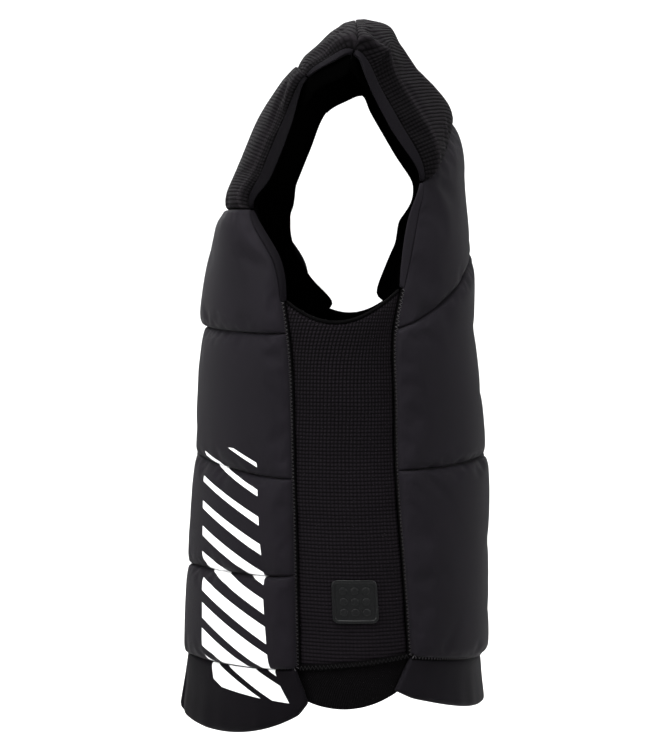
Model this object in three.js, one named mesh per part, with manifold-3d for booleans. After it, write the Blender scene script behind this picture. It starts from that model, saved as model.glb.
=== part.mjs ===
// Impact vest for water sports: a zip-front vest of foam pads, in the shape it has when it is worn.
// Millimetres, +Z up. The wearer faces -Y and the wearer's left side is +X.
// The origin is midway between the shoulders, at the height where the straps sit on them.
import * as THREE from 'three';
import { mergeVertices } from 'three/addons/utils/BufferGeometryUtils.js';
import Module from 'manifold-3d';

const wasm = await Module();
wasm.setup();

// Driving sizes of the body form that the lining follows
const LENGTH = 600; // shoulder seat down to the level of the longest hem
const HALF_WIDTH = 172; // the full width of the sections, from the middle plane
const FRONT_DEPTH = 150; // shoulder line forward to the belly
const BACK_DEPTH = 110; // shoulder line back to the hips

// Cloth walls and gaps
const LINING_WALL = 2;
const SIDE_WALL = 4; // stretch knit at the wearer's sides
const SKIRT_WALL = 5;
const SKIRT_LIFT = 3; // the skirts are sewn on at the middle of the pads' edge
const PLACKET_WALL = 10;
const SPINE_WALL = 5;
const TAPE_WALL = 1.5;
const LAY_GAP = 0.7; // a pad over its lining
const SEAM_GAP = 1; // one panel beside the next
const LINING_INSET = 0.008; // the lining ends this share of a pad short of the pad's edge
const SIDE_GAP = 2.8; // round the side panel, which is bent across the seams
const FACING_WALL = 2.5; // the gusset that closes a pad at the armhole
const FACING_BULGE = 3;
const FACING_GAP = 0.6; // the gusset beside its pad
const BINDING_GAP = 0.3;
const BINDING_RADIUS = 2.6;
const ARM_BINDING_INSET = 0.012; // share of the side panel's width

// Foam of each pad at its thickest
const FRONT_FOAM = 12;
const CHEST_FOAM = 16;
const YOKE_FOAM = 11;
const SHOULDER_FOAM = 9;
const STRAP_FOAM = 17;
const BACK_YOKE_FOAM = 10;
const BACK_FOAM = 13;

// Zip and badge
const CHAIN_WIDTH = 6;
const CHAIN_THICK = 3;
const CHAIN_LIFT = TAPE_WALL + 0.4; // chain above the body form
const SLIDER_LENGTH = 13;
const SLIDER_WIDTH = 10;
const SLIDER_THICK = 5;
const PULL_LENGTH = 34;
const PULL_WIDTH = 7;
const PULL_THICK = 2;
const BADGE_SIZE = 37;
const BADGE_CORNER = 0.1; // share of the half width that the corners are drawn in
const BADGE_PLATE = 1.6; // thickness
const BADGE_RIM = 2.6; // width of the raised rim
const BADGE_RAISE = 1;
const BADGE_LAY = 0.8; // over the side panel
const BADGE_PLACE = [0.52, -0.773]; // across and along the wearer's side
const BADGE_STUD_RADIUS = 2.6;
const BADGE_STUD_PITCH = 8.6;

const KNIT = 0x1b181a;
const SMOOTH = 0x211f25;
const LINING = 0x0b0b0d;
const RUBBER = 0x1d2020;
const METAL = 0x2a2a2c;

// Sections of the half body, from the front hem over the shoulder to the back hem. Each runs from the
// middle plane (in) to the side seam or armhole edge (out).
// at: place along the body, as a share of LENGTH. y: shares of FRONT_DEPTH when negative, of BACK_DEPTH
// when positive. x: share of HALF_WIDTH. z: share of LENGTH. turn and dip: heading of the section at its
// outer end, in degrees to the back and down. reach: handle of the curve at the middle, share of its chord.
const SECTIONS = [
  { at: 0.0, inY: -1.045, inZ: -1.0, outX: 0.965, outY: -0.3, outZ: -1.0, turn: 66, dip: 0, reach: 0.34 },
  { at: 0.1, inY: -0.985, inZ: -0.9, outX: 0.959, outY: -0.3, outZ: -0.9, turn: 66, dip: 0, reach: 0.26 },
  { at: 0.25, inY: -0.965, inZ: -0.75, outX: 0.942, outY: -0.313, outZ: -0.75, turn: 66, dip: 0, reach: 0.2 },
  { at: 0.393, inY: -0.93, inZ: -0.607, outX: 0.93, outY: -0.328, outZ: -0.607, turn: 66, dip: 0, reach: 0.19 },
  { at: 0.588, inY: -0.86, inZ: -0.412, outX: 0.948, outY: -0.358, outZ: -0.412, turn: 64, dip: 0, reach: 0.28 },
  { at: 0.683, inY: -0.787, inZ: -0.317, outX: 0.919, outY: -0.425, outZ: -0.317, turn: 50, dip: 0, reach: 0.4 },
  { at: 0.758, inY: -0.693, inZ: -0.242, outX: 0.855, outY: -0.56, outZ: -0.242, turn: 38, dip: 2, reach: 0.38 },
  { at: 0.83, inY: -0.63, inZ: -0.167, outX: 0.849, outY: -0.467, outZ: -0.193, turn: 32, dip: 10, reach: 0.36 },
  { at: 0.895, inY: -0.545, inZ: -0.103, outX: 0.866, outY: -0.36, outZ: -0.127, turn: 26, dip: 16, reach: 0.36 },
  { at: 0.965, inY: -0.335, inZ: -0.052, outX: 0.895, outY: -0.253, outZ: -0.063, turn: 14, dip: 22, reach: 0.36 },
  { at: 1.02, inY: -0.167, inZ: -0.008, outX: 0.919, outY: -0.113, outZ: -0.04, turn: 5, dip: 26, reach: 0.36 },
  { at: 1.065, inY: 0.0, inZ: 0.018, outX: 0.93, outY: -0.02, outZ: -0.034, turn: 0, dip: 30, reach: 0.36 },
  { at: 1.12, inY: 0.27, inZ: 0.003, outX: 0.913, outY: 0.055, outZ: -0.064, turn: -5, dip: 34, reach: 0.36 },
  { at: 1.19, inY: 0.545, inZ: -0.048, outX: 0.878, outY: 0.255, outZ: -0.128, turn: -18, dip: 32, reach: 0.36 },
  { at: 1.275, inY: 0.75, inZ: -0.13, outX: 0.855, outY: 0.473, outZ: -0.197, turn: -30, dip: 22, reach: 0.38 },
  { at: 1.345, inY: 0.765, inZ: -0.217, outX: 0.872, outY: 0.436, outZ: -0.25, turn: -40, dip: 10, reach: 0.4 },
  { at: 1.42, inY: 0.795, inZ: -0.307, outX: 0.907, outY: 0.382, outZ: -0.307, turn: -47, dip: 0, reach: 0.42 },
  { at: 1.52, inY: 0.809, inZ: -0.407, outX: 0.942, outY: 0.28, outZ: -0.407, turn: -57, dip: 0, reach: 0.44 },
  { at: 1.613, inY: 0.864, inZ: -0.5, outX: 0.936, outY: 0.284, outZ: -0.5, turn: -57, dip: 0, reach: 0.44 },
  { at: 1.713, inY: 0.909, inZ: -0.6, outX: 0.919, outY: 0.294, outZ: -0.6, turn: -57, dip: 0, reach: 0.44 },
  { at: 1.863, inY: 0.918, inZ: -0.75, outX: 0.93, outY: 0.354, outZ: -0.75, turn: -57, dip: 0, reach: 0.44 },
  { at: 1.997, inY: 0.927, inZ: -0.884, outX: 0.942, outY: 0.4, outZ: -0.884, turn: -58, dip: 0, reach: 0.44 },
  { at: 2.113, inY: 0.982, inZ: -1.0, outX: 0.948, outY: 0.418, outZ: -1.0, turn: -58, dip: 0, reach: 0.44 },
];
const OUTER_REACH = 0.3; // handle at a section's outer end, share of its chord
const FLANK_REACH = 0.36; // handles of the arc across the wearer's side, share of its chord
const BACK_DATUM = 1.113; // at + level on the back is this, as at - level on the front is 1

// Seams, as places along the body (at) or levels (z), both shares of LENGTH
const APEX = 1.065; // seam on top of the shoulder
const PINCH = 0.965; // seam across the front of the strap
const NECK_FRONT = 0.872; // lowest point of the neckline in front
const NECK_BACK = 1.285;
const NECK_REACH = 0.45; // neck edge on top of the shoulder, as a place on the section
const PLACKET_EDGE = 0.125; // places on the section where the middle strips end
const SPINE_EDGE = 0.1;
const CHAIN_EDGE = 0.045;
const SEAMS = {
  frontHem: { in: -0.992, out: -0.918 },
  frontSkirt: { in: -0.905, out: -0.873 },
  hip: { in: -0.768, out: -0.745 },
  belly: { in: -0.599, out: -0.612 },
  rib: { in: -0.409, out: -0.412 },
  chest: { in: -0.242, out: -0.242 },
  backSkirt: { in: -0.898, out: -0.856 },
  backMid: { in: -0.6, out: -0.6 },
};
const STRAP_TIP = { in: 1.245, out: 1.285 }; // where the ribbed strap ends on the back
const YOKE_EDGE = { in: 1.407, out: 1.52 }; // sloping lower edge of the smooth back yoke
const FLANK_TOP = { front: -0.367, back: -0.352, sag: 0.038 };
const SIDE_HEM = { front: -0.918, back: -0.902, sag: 0.013 };
const BACK_HEM = { in: -0.972, out: -0.902, sweep: 1.35 };
const FRONT_HEM_SWEEP = 4;
const SKIRT_OVERLAP = 0.09; // the front skirt's lower corner passes the side seam by this much
const SKIRT_FLARE = 0.16; // and the back skirt's by this

const lerp = THREE.MathUtils.lerp;
const depthOf = (share) => share * (share < 0 ? FRONT_DEPTH : BACK_DEPTH);
const across = (seam) => (a) => lerp(seam.in, seam.out, a);

// The four control points of a section's curve, as twelve numbers.
function sectionControls(row) {
  const start = new THREE.Vector3(0, depthOf(row.inY), row.inZ * LENGTH);
  const end = new THREE.Vector3(row.outX * HALF_WIDTH, depthOf(row.outY), row.outZ * LENGTH);
  const turn = THREE.MathUtils.degToRad(row.turn);
  const dip = THREE.MathUtils.degToRad(row.dip);
  const chord = start.distanceTo(end);
  const heading = new THREE.Vector3(
    Math.cos(dip) * Math.cos(turn),
    Math.cos(dip) * Math.sin(turn),
    -Math.sin(dip),
  );
  const afterStart = start.clone().add(new THREE.Vector3(chord * row.reach, 0, 0));
  const beforeEnd = end.clone().addScaledVector(heading, -chord * OUTER_REACH);
  return [start, afterStart, beforeEnd, end].flatMap((p) => p.toArray());
}

const sectionSpline = new THREE.CubicInterpolant(
  SECTIONS.map((row) => row.at),
  SECTIONS.flatMap(sectionControls),
  12,
  new Float64Array(12),
);

function controlsAt(at) {
  const v = sectionSpline.evaluate(at);
  return [0, 3, 6, 9].map((i) => new THREE.Vector3(v[i], v[i + 1], v[i + 2]));
}

// A point of the body form: u runs from the middle plane (0) to the side (1), and a negative u is on
// the wearer's right.
function torso(u, at) {
  const point = new THREE.CubicBezierCurve3(...controlsAt(at)).getPoint(Math.abs(u));
  if (u < 0) point.x = -point.x;
  return point;
}

// The form across the wearer's side, from the front seam (w 0) to the back seam (w 1), at a level.
function flank(w, level) {
  const front = controlsAt(1 + level);
  const back = controlsAt(BACK_DATUM - level);
  const reach = front[3].distanceTo(back[3]) * FLANK_REACH;
  const outOf = (c) => c[3].clone().sub(c[2]).setLength(reach).add(c[3]);
  return new THREE.CubicBezierCurve3(front[3], outOf(front), outOf(back), back[3]).getPoint(w);
}

// The form all round at a level: g 0 to 1 is the front, 1 to 2 the side and 2 to 3 the back.
function girth(g, level) {
  if (g <= 1) return torso(g, 1 + level);
  if (g <= 2) return flank(g - 1, level);
  return torso(3 - g, BACK_DATUM - level);
}

// Point, outward normal and the two directions of a form at a place.
function frameOn(form, p, q) {
  const step = 1e-3;
  const along = form(p + step, q).sub(form(p - step, q)).normalize();
  const up = form(p, q + step).sub(form(p, q - step)).normalize();
  const normal = new THREE.Vector3().crossVectors(along, up).normalize();
  return { point: form(p, q), normal, along, up };
}

// A closed geometry from points and triangles, turned so that its faces point out.
function closedGeometry(points, triangles) {
  let volume = 0;
  for (const [i, j, k] of triangles) {
    volume += points[i].dot(new THREE.Vector3().crossVectors(points[j], points[k]));
  }
  const facing = volume > 0 ? triangles : triangles.map(([i, j, k]) => [i, k, j]);
  const geometry = new THREE.BufferGeometry().setFromPoints(points);
  geometry.setIndex(facing.flat());
  return geometry;
}

// A wall between an inner and an outer sheet of points, both on the same grid of stops.
function wallBetween(inner, outer, columns, rows) {
  const points = [];
  for (const sheet of [inner, outer]) {
    for (const b of rows) for (const a of columns) points.push(sheet(a, b));
  }
  const m = columns.length;
  const n = rows.length;
  const id = (sheet, i, j) => sheet * m * n + j * m + i;
  const triangles = [];
  const quad = (p, q, r, s) => triangles.push([p, q, r], [p, r, s]);
  for (let j = 0; j < n - 1; j++) {
    for (let i = 0; i < m - 1; i++) {
      quad(id(1, i, j), id(1, i + 1, j), id(1, i + 1, j + 1), id(1, i, j + 1));
      quad(id(0, i, j), id(0, i, j + 1), id(0, i + 1, j + 1), id(0, i + 1, j));
    }
  }
  for (let i = 0; i < m - 1; i++) {
    quad(id(0, i, 0), id(0, i + 1, 0), id(1, i + 1, 0), id(1, i, 0));
    quad(id(0, i + 1, n - 1), id(0, i, n - 1), id(1, i, n - 1), id(1, i + 1, n - 1));
  }
  for (let j = 0; j < n - 1; j++) {
    quad(id(0, 0, j + 1), id(0, 0, j), id(1, 0, j), id(1, 0, j + 1));
    quad(id(0, m - 1, j), id(0, m - 1, j + 1), id(1, m - 1, j + 1), id(1, m - 1, j));
  }
  return closedGeometry(points, triangles);
}

// A solid through rings of points, with flat ends.
function loft(rings) {
  const m = rings[0].length;
  const points = rings.flat();
  const triangles = [];
  for (let k = 0; k < rings.length - 1; k++) {
    for (let i = 0; i < m; i++) {
      const j = (i + 1) % m;
      triangles.push([k * m + i, k * m + j, (k + 1) * m + j], [k * m + i, (k + 1) * m + j, (k + 1) * m + i]);
    }
  }
  const last = (rings.length - 1) * m;
  for (let i = 1; i < m - 1; i++) {
    triangles.push([0, i + 1, i], [last, last + i, last + i + 1]);
  }
  return closedGeometry(points, triangles);
}

// Even stops from 0 to 1.
const evenStops = (count) => Array.from({ length: count + 1 }, (_, i) => i / count);

// Stops from 0 to 1 that crowd where a pad rolls over at its ends: the outer three at each end are in the
// roll, and the rest are spread between.
function rollStops(length, roll, middles) {
  const near = [0, 0.3, 1].map((k) => Math.min((k * roll) / length, 0.4));
  const inside = evenStops(middles + 1).slice(1, -1).map((t) => lerp(near[2], 1 - near[2], t));
  return [...near, ...inside, ...near.map((k) => 1 - k).reverse()];
}
const PAD_COLUMNS = [0, 0.05, 0.3, 0.5, 0.7, 0.95, 1];
const LINING_COLUMNS = [0, 0.3, 0.5, 0.7, 0.95, 1];

// A panel is a stretch of a form: from(a) and to(a) are its two ends along the form, and inner(q) and
// outer(q) its two sides there. It is held back by half a seam gap all round.
function panelOf({ form, from, to, inner, outer, gap = SEAM_GAP }) {
  const place = (a, b) => {
    const q = lerp(from(a), to(a), b);
    return [lerp(inner(q), outer(q), a), q];
  };
  const at = (a, b) => form(...place(a, b));
  const width = at(0, 0.5).distanceTo(at(0.5, 0.5)) + at(0.5, 0.5).distanceTo(at(1, 0.5));
  const height = at(0.5, 0).distanceTo(at(0.5, 0.5)) + at(0.5, 0.5).distanceTo(at(0.5, 1));
  const gapA = gap / 2 / width;
  const gapB = gap / 2 / height;
  const lifted = (a, b, lift) => {
    const frame = frameOn(form, ...place(lerp(gapA, 1 - gapA, a), lerp(gapB, 1 - gapB, b)));
    return frame.point.addScaledVector(frame.normal, lift);
  };
  return { width, height, lifted, place };
}

// How high a pad stands at (a, b): full foam inside, rolling down to a share of it at each edge.
function padHeight({ foam, roll, edges, ridge }, width, height) {
  const rolled = (distance, radius, share) => {
    const k = 1 - Math.min(distance / radius, 1);
    return share + (1 - share) * Math.sqrt(1 - k * k);
  };
  return (a, b) => {
    const ends = rolled(b * height, roll, edges.from) * rolled((1 - b) * height, roll, edges.to);
    const sides = rolled(a * width, edges.innerRoll ?? roll, edges.inner) *
      rolled((1 - a) * width, roll, edges.outer);
    const crest = ridge ? 1 + ridge.rise * Math.exp(-(((a - ridge.at) / ridge.spread) ** 2)) : 1;
    return foam * ends * sides * crest;
  };
}

function padGeometry(spec) {
  const panel = panelOf(spec);
  const stand = padHeight(spec, panel.width, panel.height);
  const base = LINING_WALL + LAY_GAP;
  return wallBetween(
    (a, b) => panel.lifted(a, b, base),
    (a, b) => panel.lifted(a, b, base + stand(a, b)),
    PAD_COLUMNS,
    rollStops(panel.height, spec.roll, spec.rows),
  );
}

// One lining under a stack of pads, on the same lines as the pads so that it lies evenly under them.
function liningGeometry(pads) {
  const courses = pads.flatMap((pad) => {
    const keep = pad.edges === ARM_EDGES ? 2 : 3;
    const stops = rollStops(panelOf(pad).height, pad.roll, pad.rows).slice(keep, -keep);
    return [0, ...stops].map((b) => ({ pad, b }));
  });
  courses[0].b = LINING_INSET;
  courses.push({ pad: pads.at(-1), b: 1 - LINING_INSET });
  const lifted = (lift) => (a, { pad, b }) => {
    const q = lerp(pad.from(a), pad.to(a), b);
    const u = lerp(pad.inner(q), pad.outer(q), lerp(LINING_INSET, 1 - LINING_INSET, a));
    const { point, normal } = frameOn(torso, u, q);
    return point.addScaledVector(normal, lift);
  };
  return wallBetween(lifted(0), lifted(LINING_WALL), LINING_COLUMNS, courses);
}

function sheetGeometry(spec) {
  const panel = panelOf(spec);
  return wallBetween(
    (a, b) => panel.lifted(a, b, spec.lift ?? 0),
    (a, b) => panel.lifted(a, b, (spec.lift ?? 0) + spec.wall),
    evenStops(spec.columns),
    evenStops(spec.rows),
  );
}

// The neck edge as a quarter ellipse in front and another behind, as a place on the section.
function neckEdge(at) {
  const span = at < APEX ? APEX - NECK_FRONT : NECK_BACK - APEX;
  const k = Math.min(Math.abs(at - APEX) / span, 1);
  return NECK_REACH * Math.sqrt(1 - k * k);
}
const frontInner = (at) => Math.max(neckEdge(at), PLACKET_EDGE);
const backInner = (at) => Math.max(neckEdge(at), SPINE_EDGE);
const fixed = (value) => () => value;
const frontAt = (seam) => (a) => 1 + across(seam)(a);
const backAt = (seam) => (a) => BACK_DATUM - across(seam)(a);

const SIDE_SEAM_EDGES = { inner: 0.3, innerRoll: 100, outer: 0.35, from: 0.3, to: 0.3 };
const BACK_EDGES = { ...SIDE_SEAM_EDGES, innerRoll: 16 };
const ARM_EDGES = { inner: 0.35, outer: 0.62, from: 0.3, to: 0.3 };

// The pads of the wearer's left half, each on the torso form.
const PADS = {
  hip_pad: { from: frontAt(SEAMS.frontSkirt), to: frontAt(SEAMS.hip), inner: frontInner, outer: fixed(1),
    foam: FRONT_FOAM, roll: 15, edges: SIDE_SEAM_EDGES, rows: 1, colour: SMOOTH },
  belly_pad: { from: frontAt(SEAMS.hip), to: frontAt(SEAMS.belly), inner: frontInner, outer: fixed(1),
    foam: FRONT_FOAM, roll: 15, edges: SIDE_SEAM_EDGES, rows: 1, colour: SMOOTH },
  rib_pad: { from: frontAt(SEAMS.belly), to: frontAt(SEAMS.rib), inner: frontInner, outer: fixed(1),
    foam: FRONT_FOAM, roll: 15, edges: SIDE_SEAM_EDGES, rows: 1, colour: SMOOTH },
  chest_pad: { from: frontAt(SEAMS.rib), to: frontAt(SEAMS.chest), inner: frontInner, outer: fixed(1),
    foam: CHEST_FOAM, roll: 15, edges: ARM_EDGES, rows: 2, colour: SMOOTH },
  front_yoke: { from: frontAt(SEAMS.chest), to: fixed(PINCH), inner: frontInner, outer: fixed(1),
    foam: YOKE_FOAM, roll: 12, edges: ARM_EDGES, ridge: { at: 0.78, spread: 0.12, rise: 0.22 },
    rows: 4, colour: KNIT },
  shoulder_front: { from: fixed(PINCH), to: fixed(APEX), inner: frontInner, outer: fixed(1),
    foam: SHOULDER_FOAM, roll: 12, edges: ARM_EDGES, ridge: { at: 0.7, spread: 0.16, rise: 0.15 },
    rows: 1, colour: KNIT },
  shoulder_back: { from: fixed(APEX), to: across(STRAP_TIP), inner: backInner, outer: fixed(1),
    foam: STRAP_FOAM, roll: 13, edges: ARM_EDGES, ridge: { at: 0.62, spread: 0.16, rise: 0.2 },
    rows: 3, colour: KNIT },
  back_yoke: { from: across(STRAP_TIP), to: across(YOKE_EDGE), inner: backInner, outer: fixed(1),
    foam: BACK_YOKE_FOAM, roll: 14, edges: ARM_EDGES, ridge: { at: 0.6, spread: 0.16, rise: 0.14 },
    rows: 2, colour: SMOOTH },
  back_mid: { from: across(YOKE_EDGE), to: backAt(SEAMS.backMid), inner: backInner, outer: fixed(1),
    foam: BACK_FOAM, roll: 16, edges: BACK_EDGES, rows: 2, colour: SMOOTH },
  back_low: { from: backAt(SEAMS.backMid), to: backAt(SEAMS.backSkirt), inner: backInner, outer: fixed(1),
    foam: BACK_FOAM, roll: 16, edges: BACK_EDGES, rows: 2, colour: SMOOTH },
};

const flankTop = (w) => lerp(FLANK_TOP.front, FLANK_TOP.back, w) - FLANK_TOP.sag * 4 * w * (1 - w);
const flankFoot = (w) => lerp(SEAMS.frontSkirt.out, SEAMS.backSkirt.out, w);
const hemOut = (a) => SEAMS.frontHem.in + (SEAMS.frontHem.out - SEAMS.frontHem.in) * a ** FRONT_HEM_SWEEP;
const sideHem = (a) => lerp(SIDE_HEM.front, SIDE_HEM.back, a) - SIDE_HEM.sag * 4 * a * (1 - a);
const backHem = (a) => BACK_HEM.in + (BACK_HEM.out - BACK_HEM.in) * (1 - a) ** BACK_HEM.sweep;

// How far down its skirt a level lies, 0 at the seam and 1 at the hem's corner.
const downSkirt = (level, seam, hem) => THREE.MathUtils.clamp((level - seam) / (hem - seam), 0, 1);
const frontCorner = (level) => 1 + SKIRT_OVERLAP * downSkirt(level, SEAMS.frontSkirt.out, SIDE_HEM.front);
const backCorner = (level) => 2 - SKIRT_FLARE * downSkirt(level, SEAMS.backSkirt.out, SIDE_HEM.back);

// The thin panels of the wearer's left half.
const SHEETS = {
  side_panel: { form: flank, from: flankFoot, to: flankTop, inner: fixed(0), outer: fixed(1),
    wall: SIDE_WALL, gap: SIDE_GAP, columns: 7, rows: 6, colour: KNIT },
  front_skirt: { form: girth, from: hemOut, to: across(SEAMS.frontSkirt), inner: fixed(PLACKET_EDGE),
    outer: frontCorner, lift: SKIRT_LIFT, wall: SKIRT_WALL, columns: 12, rows: 3, colour: SMOOTH },
  side_skirt: { form: girth, from: sideHem, to: flankFoot, inner: frontCorner, outer: backCorner,
    wall: SIDE_WALL, columns: 7, rows: 3, colour: KNIT },
  back_skirt: { form: girth, from: backHem, to: (a) => lerp(SEAMS.backSkirt.out, SEAMS.backSkirt.in, a),
    inner: backCorner, outer: fixed(3 - SPINE_EDGE), lift: SKIRT_LIFT, wall: SKIRT_WALL, columns: 12, rows: 3, colour: SMOOTH },
  placket: { form: torso, from: fixed(1 + SEAMS.frontHem.in), to: fixed(NECK_FRONT),
    inner: fixed(CHAIN_EDGE), outer: fixed(PLACKET_EDGE), wall: PLACKET_WALL, columns: 2, rows: 16,
    colour: KNIT },
  zip_tape: { form: torso, from: fixed(1 + SEAMS.frontHem.in), to: fixed(NECK_FRONT),
    inner: fixed(0), outer: fixed(CHAIN_EDGE), wall: TAPE_WALL, columns: 1, rows: 16, colour: LINING },
};

// The gusset that closes a pad along the armhole, as high as the pad's wall and bulged at mid height. It
// keeps the pad's own stops.
function facingGeometry(pad, fromShare, toShare) {
  const panel = panelOf(pad);
  const stand = padHeight(pad, panel.width, panel.height);
  const between = rollStops(panel.height, pad.roll, pad.rows).filter((b) => b > fromShare && b < toShare);
  const rings = [fromShare, ...between, toShare].map((b) => {
    const t = (b - fromShare) / (toShare - fromShare);
    const frame = frameOn(pad.form, 1, panel.place(1, b)[1]);
    const outward = new THREE.Vector3().crossVectors(frame.up, frame.normal).normalize();
    const top = LINING_WALL + LAY_GAP + stand(1, b);
    const bulge = FACING_BULGE * Math.sin(Math.PI * t);
    const profile = [
      [0, 0],
      [FACING_WALL, 0],
      [FACING_WALL + bulge, top * 0.35],
      [FACING_WALL + bulge, top * 0.7],
      [FACING_WALL * 0.6, top],
      [0, top],
    ];
    return profile.map(([out, lift]) =>
      frame.point.clone().addScaledVector(outward, FACING_GAP + out).addScaledVector(frame.normal, lift));
  });
  return loft(rings);
}

// A round binding along an edge. Each place has its point, and side and lift, its two directions.
function bindingGeometry(places) {
  const sides = 6;
  const rings = places.map(({ point, side, lift }) => evenStops(sides).slice(1).map((k) => {
    const turn = k * 2 * Math.PI;
    return point.clone()
      .addScaledVector(side, BINDING_RADIUS * (Math.cos(turn) + 1) + BINDING_GAP)
      .addScaledVector(lift, BINDING_RADIUS * (Math.sin(turn) + 1));
  }));
  return loft(rings);
}

// Binding round the neck, from the placket over the shoulder to the spine strip, on the pads' own stops.
function neckBinding() {
  const stops = [PADS.front_yoke, PADS.shoulder_front, PADS.shoulder_back, PADS.back_yoke].flatMap((pad) =>
    rollStops(panelOf(pad).height, pad.roll, pad.rows).map((b) => lerp(pad.from(0), pad.to(0), b)));
  const kept = stops.filter((at, i) => at > NECK_FRONT && at < NECK_BACK && !(stops[i - 1] > at - 1e-6));
  const edge = (at) => [at < APEX ? frontInner(at) : backInner(at), at];
  const step = 2e-3;
  return bindingGeometry(kept.map((at) => {
    const { point, normal } = frameOn(torso, ...edge(at));
    const onward = torso(...edge(at + step)).sub(torso(...edge(at - step))).normalize();
    return { point, lift: normal, side: new THREE.Vector3().crossVectors(normal, onward).normalize() };
  }));
}

// Binding of the armhole's floor, along the top of the side panel.
function armBinding() {
  const { place } = panelOf(SHEETS.side_panel);
  return bindingGeometry(evenStops(SHEETS.side_panel.columns).map((a) => {
    const { point, normal, up } = frameOn(flank, ...place(lerp(ARM_BINDING_INSET, 1 - ARM_BINDING_INSET, a), 1));
    return { point: point.addScaledVector(up, BINDING_GAP - SIDE_GAP / 2), side: up, lift: normal };
  }));
}

// Geometry to a manifold solid and back, for joining.
function toSolid(geometry) {
  const bare = geometry.clone();
  bare.deleteAttribute('normal');
  bare.deleteAttribute('uv');
  const merged = mergeVertices(bare, 1e-4);
  return new wasm.Manifold(new wasm.Mesh({
    numProp: 3,
    vertProperties: merged.attributes.position.array,
    triVerts: new Uint32Array(merged.index.array),
  }));
}
function fromSolid(solid) {
  const mesh = solid.getMesh();
  const geometry = new THREE.BufferGeometry();
  geometry.setAttribute('position', new THREE.BufferAttribute(mesh.vertProperties, 3));
  geometry.setIndex(new THREE.BufferAttribute(mesh.triVerts, 1));
  return geometry;
}
const joined = (geometries) => fromSolid(geometries.map(toSolid).reduce((a, b) => a.add(b)));

function roundedSquare(width, height, corner) {
  const shape = new THREE.Shape();
  const x = width / 2;
  const y = height / 2;
  shape.moveTo(-x + corner, -y);
  shape.lineTo(x - corner, -y);
  shape.absarc(x - corner, -y + corner, corner, -Math.PI / 2, 0);
  shape.lineTo(x, y - corner);
  shape.absarc(x - corner, y - corner, corner, 0, Math.PI / 2);
  shape.lineTo(-x + corner, y);
  shape.absarc(-x + corner, y - corner, corner, Math.PI / 2, Math.PI);
  shape.lineTo(-x, -y + corner);
  shape.absarc(-x + corner, -y + corner, corner, Math.PI, 1.5 * Math.PI);
  return shape;
}

// A rounded plate standing on z = 0 of its own frame.
function plate(width, height, corner, thick, hole) {
  const shape = roundedSquare(width, height, corner);
  if (hole) shape.holes.push(hole);
  return new THREE.ExtrudeGeometry(shape, { depth: thick, bevelEnabled: false, curveSegments: 4 });
}

// Rubber badge: a square plate with rounded corners and a raised rim, drawn flat with its middle at 0.
function badgePlate() {
  const half = BADGE_SIZE / 2;
  const rim = 1 - BADGE_RIM / half;
  const stops = [-1, -rim, -rim + 0.05, -0.3, 0.3, rim - 0.05, rim, 1];
  const sheet = (height) => (a, b) => {
    const draw = half * (1 - BADGE_CORNER * (a * b) ** 4);
    return new THREE.Vector3(a * draw, b * draw, height(Math.max(Math.abs(a), Math.abs(b))));
  };
  const top = (edge) => (edge >= rim ? BADGE_PLATE + BADGE_RAISE : BADGE_PLATE);
  return wallBetween(sheet(fixed(0)), sheet(top), stops, stops);
}

// Its nine round studs in rows of three, each sunk into the plate by half the plate.
function badgeStuds() {
  const height = BADGE_PLATE / 2 + BADGE_RAISE;
  return [-1, 0, 1].flatMap((column) => [-1, 0, 1].map((row) => {
    const stud = new THREE.CylinderGeometry(BADGE_STUD_RADIUS * 0.8, BADGE_STUD_RADIUS, height, 8);
    stud.rotateX(Math.PI / 2);
    stud.translate(column * BADGE_STUD_PITCH, row * BADGE_STUD_PITCH, BADGE_PLATE / 2 + height / 2);
    return stud;
  }));
}

// Bends a flat piece, drawn in x, y, z, onto a form round a place, standing lift above it.
function wrapOnto(geometry, form, [p, q], lift) {
  const frame = frameOn(form, p, q);
  const step = 1e-3;
  const perP = form(p + step, q).distanceTo(form(p - step, q)) / (2 * step);
  const perQ = form(p, q + step).distanceTo(form(p, q - step)) / (2 * step);
  const position = geometry.attributes.position;
  for (let i = 0; i < position.count; i++) {
    const here = frameOn(form, p + position.getX(i) / perP, q + position.getY(i) / perQ);
    const place = here.point.addScaledVector(here.normal, lift + position.getZ(i));
    position.setXYZ(i, place.x, place.y, place.z);
  }
  return geometry;
}

function sliderGeometry() {
  const body = plate(SLIDER_WIDTH, SLIDER_LENGTH, 2, SLIDER_THICK);
  const pull = plate(PULL_WIDTH, PULL_LENGTH, PULL_WIDTH / 2 - 0.2, PULL_THICK);
  pull.translate(0, -PULL_LENGTH / 2 + SLIDER_LENGTH / 2 - 1, SLIDER_THICK - PULL_THICK / 2);
  return joined([body, pull]);
}

const CHAIN_TOP = 0.846; // the slider stands above the chain's end
const SLIDER_AT = CHAIN_TOP + (SLIDER_LENGTH / 2 + SEAM_GAP) / LENGTH;

function chainGeometry() {
  const rings = evenStops(20).map((t) => {
    const { point, normal, along } = frameOn(torso, 0, lerp(1 + SEAMS.frontHem.in + 0.005, CHAIN_TOP, t));
    return [[-1, 0], [1, 0], [1, 0.7], [0, 1], [-1, 0.7]].map(([x, z]) =>
      point.clone()
        .addScaledVector(along, (x * CHAIN_WIDTH) / 2)
        .addScaledVector(normal, CHAIN_LIFT + z * CHAIN_THICK));
  });
  return loft(rings);
}

function mirrored(geometry) {
  const copy = geometry.clone();
  copy.scale(-1, 1, 1);
  const index = copy.index.array.slice();
  for (let i = 0; i < index.length; i += 3) [index[i + 1], index[i + 2]] = [index[i + 2], index[i + 1]];
  copy.setIndex(new THREE.BufferAttribute(index, 1));
  return copy;
}

const vest = new THREE.Group();

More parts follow.
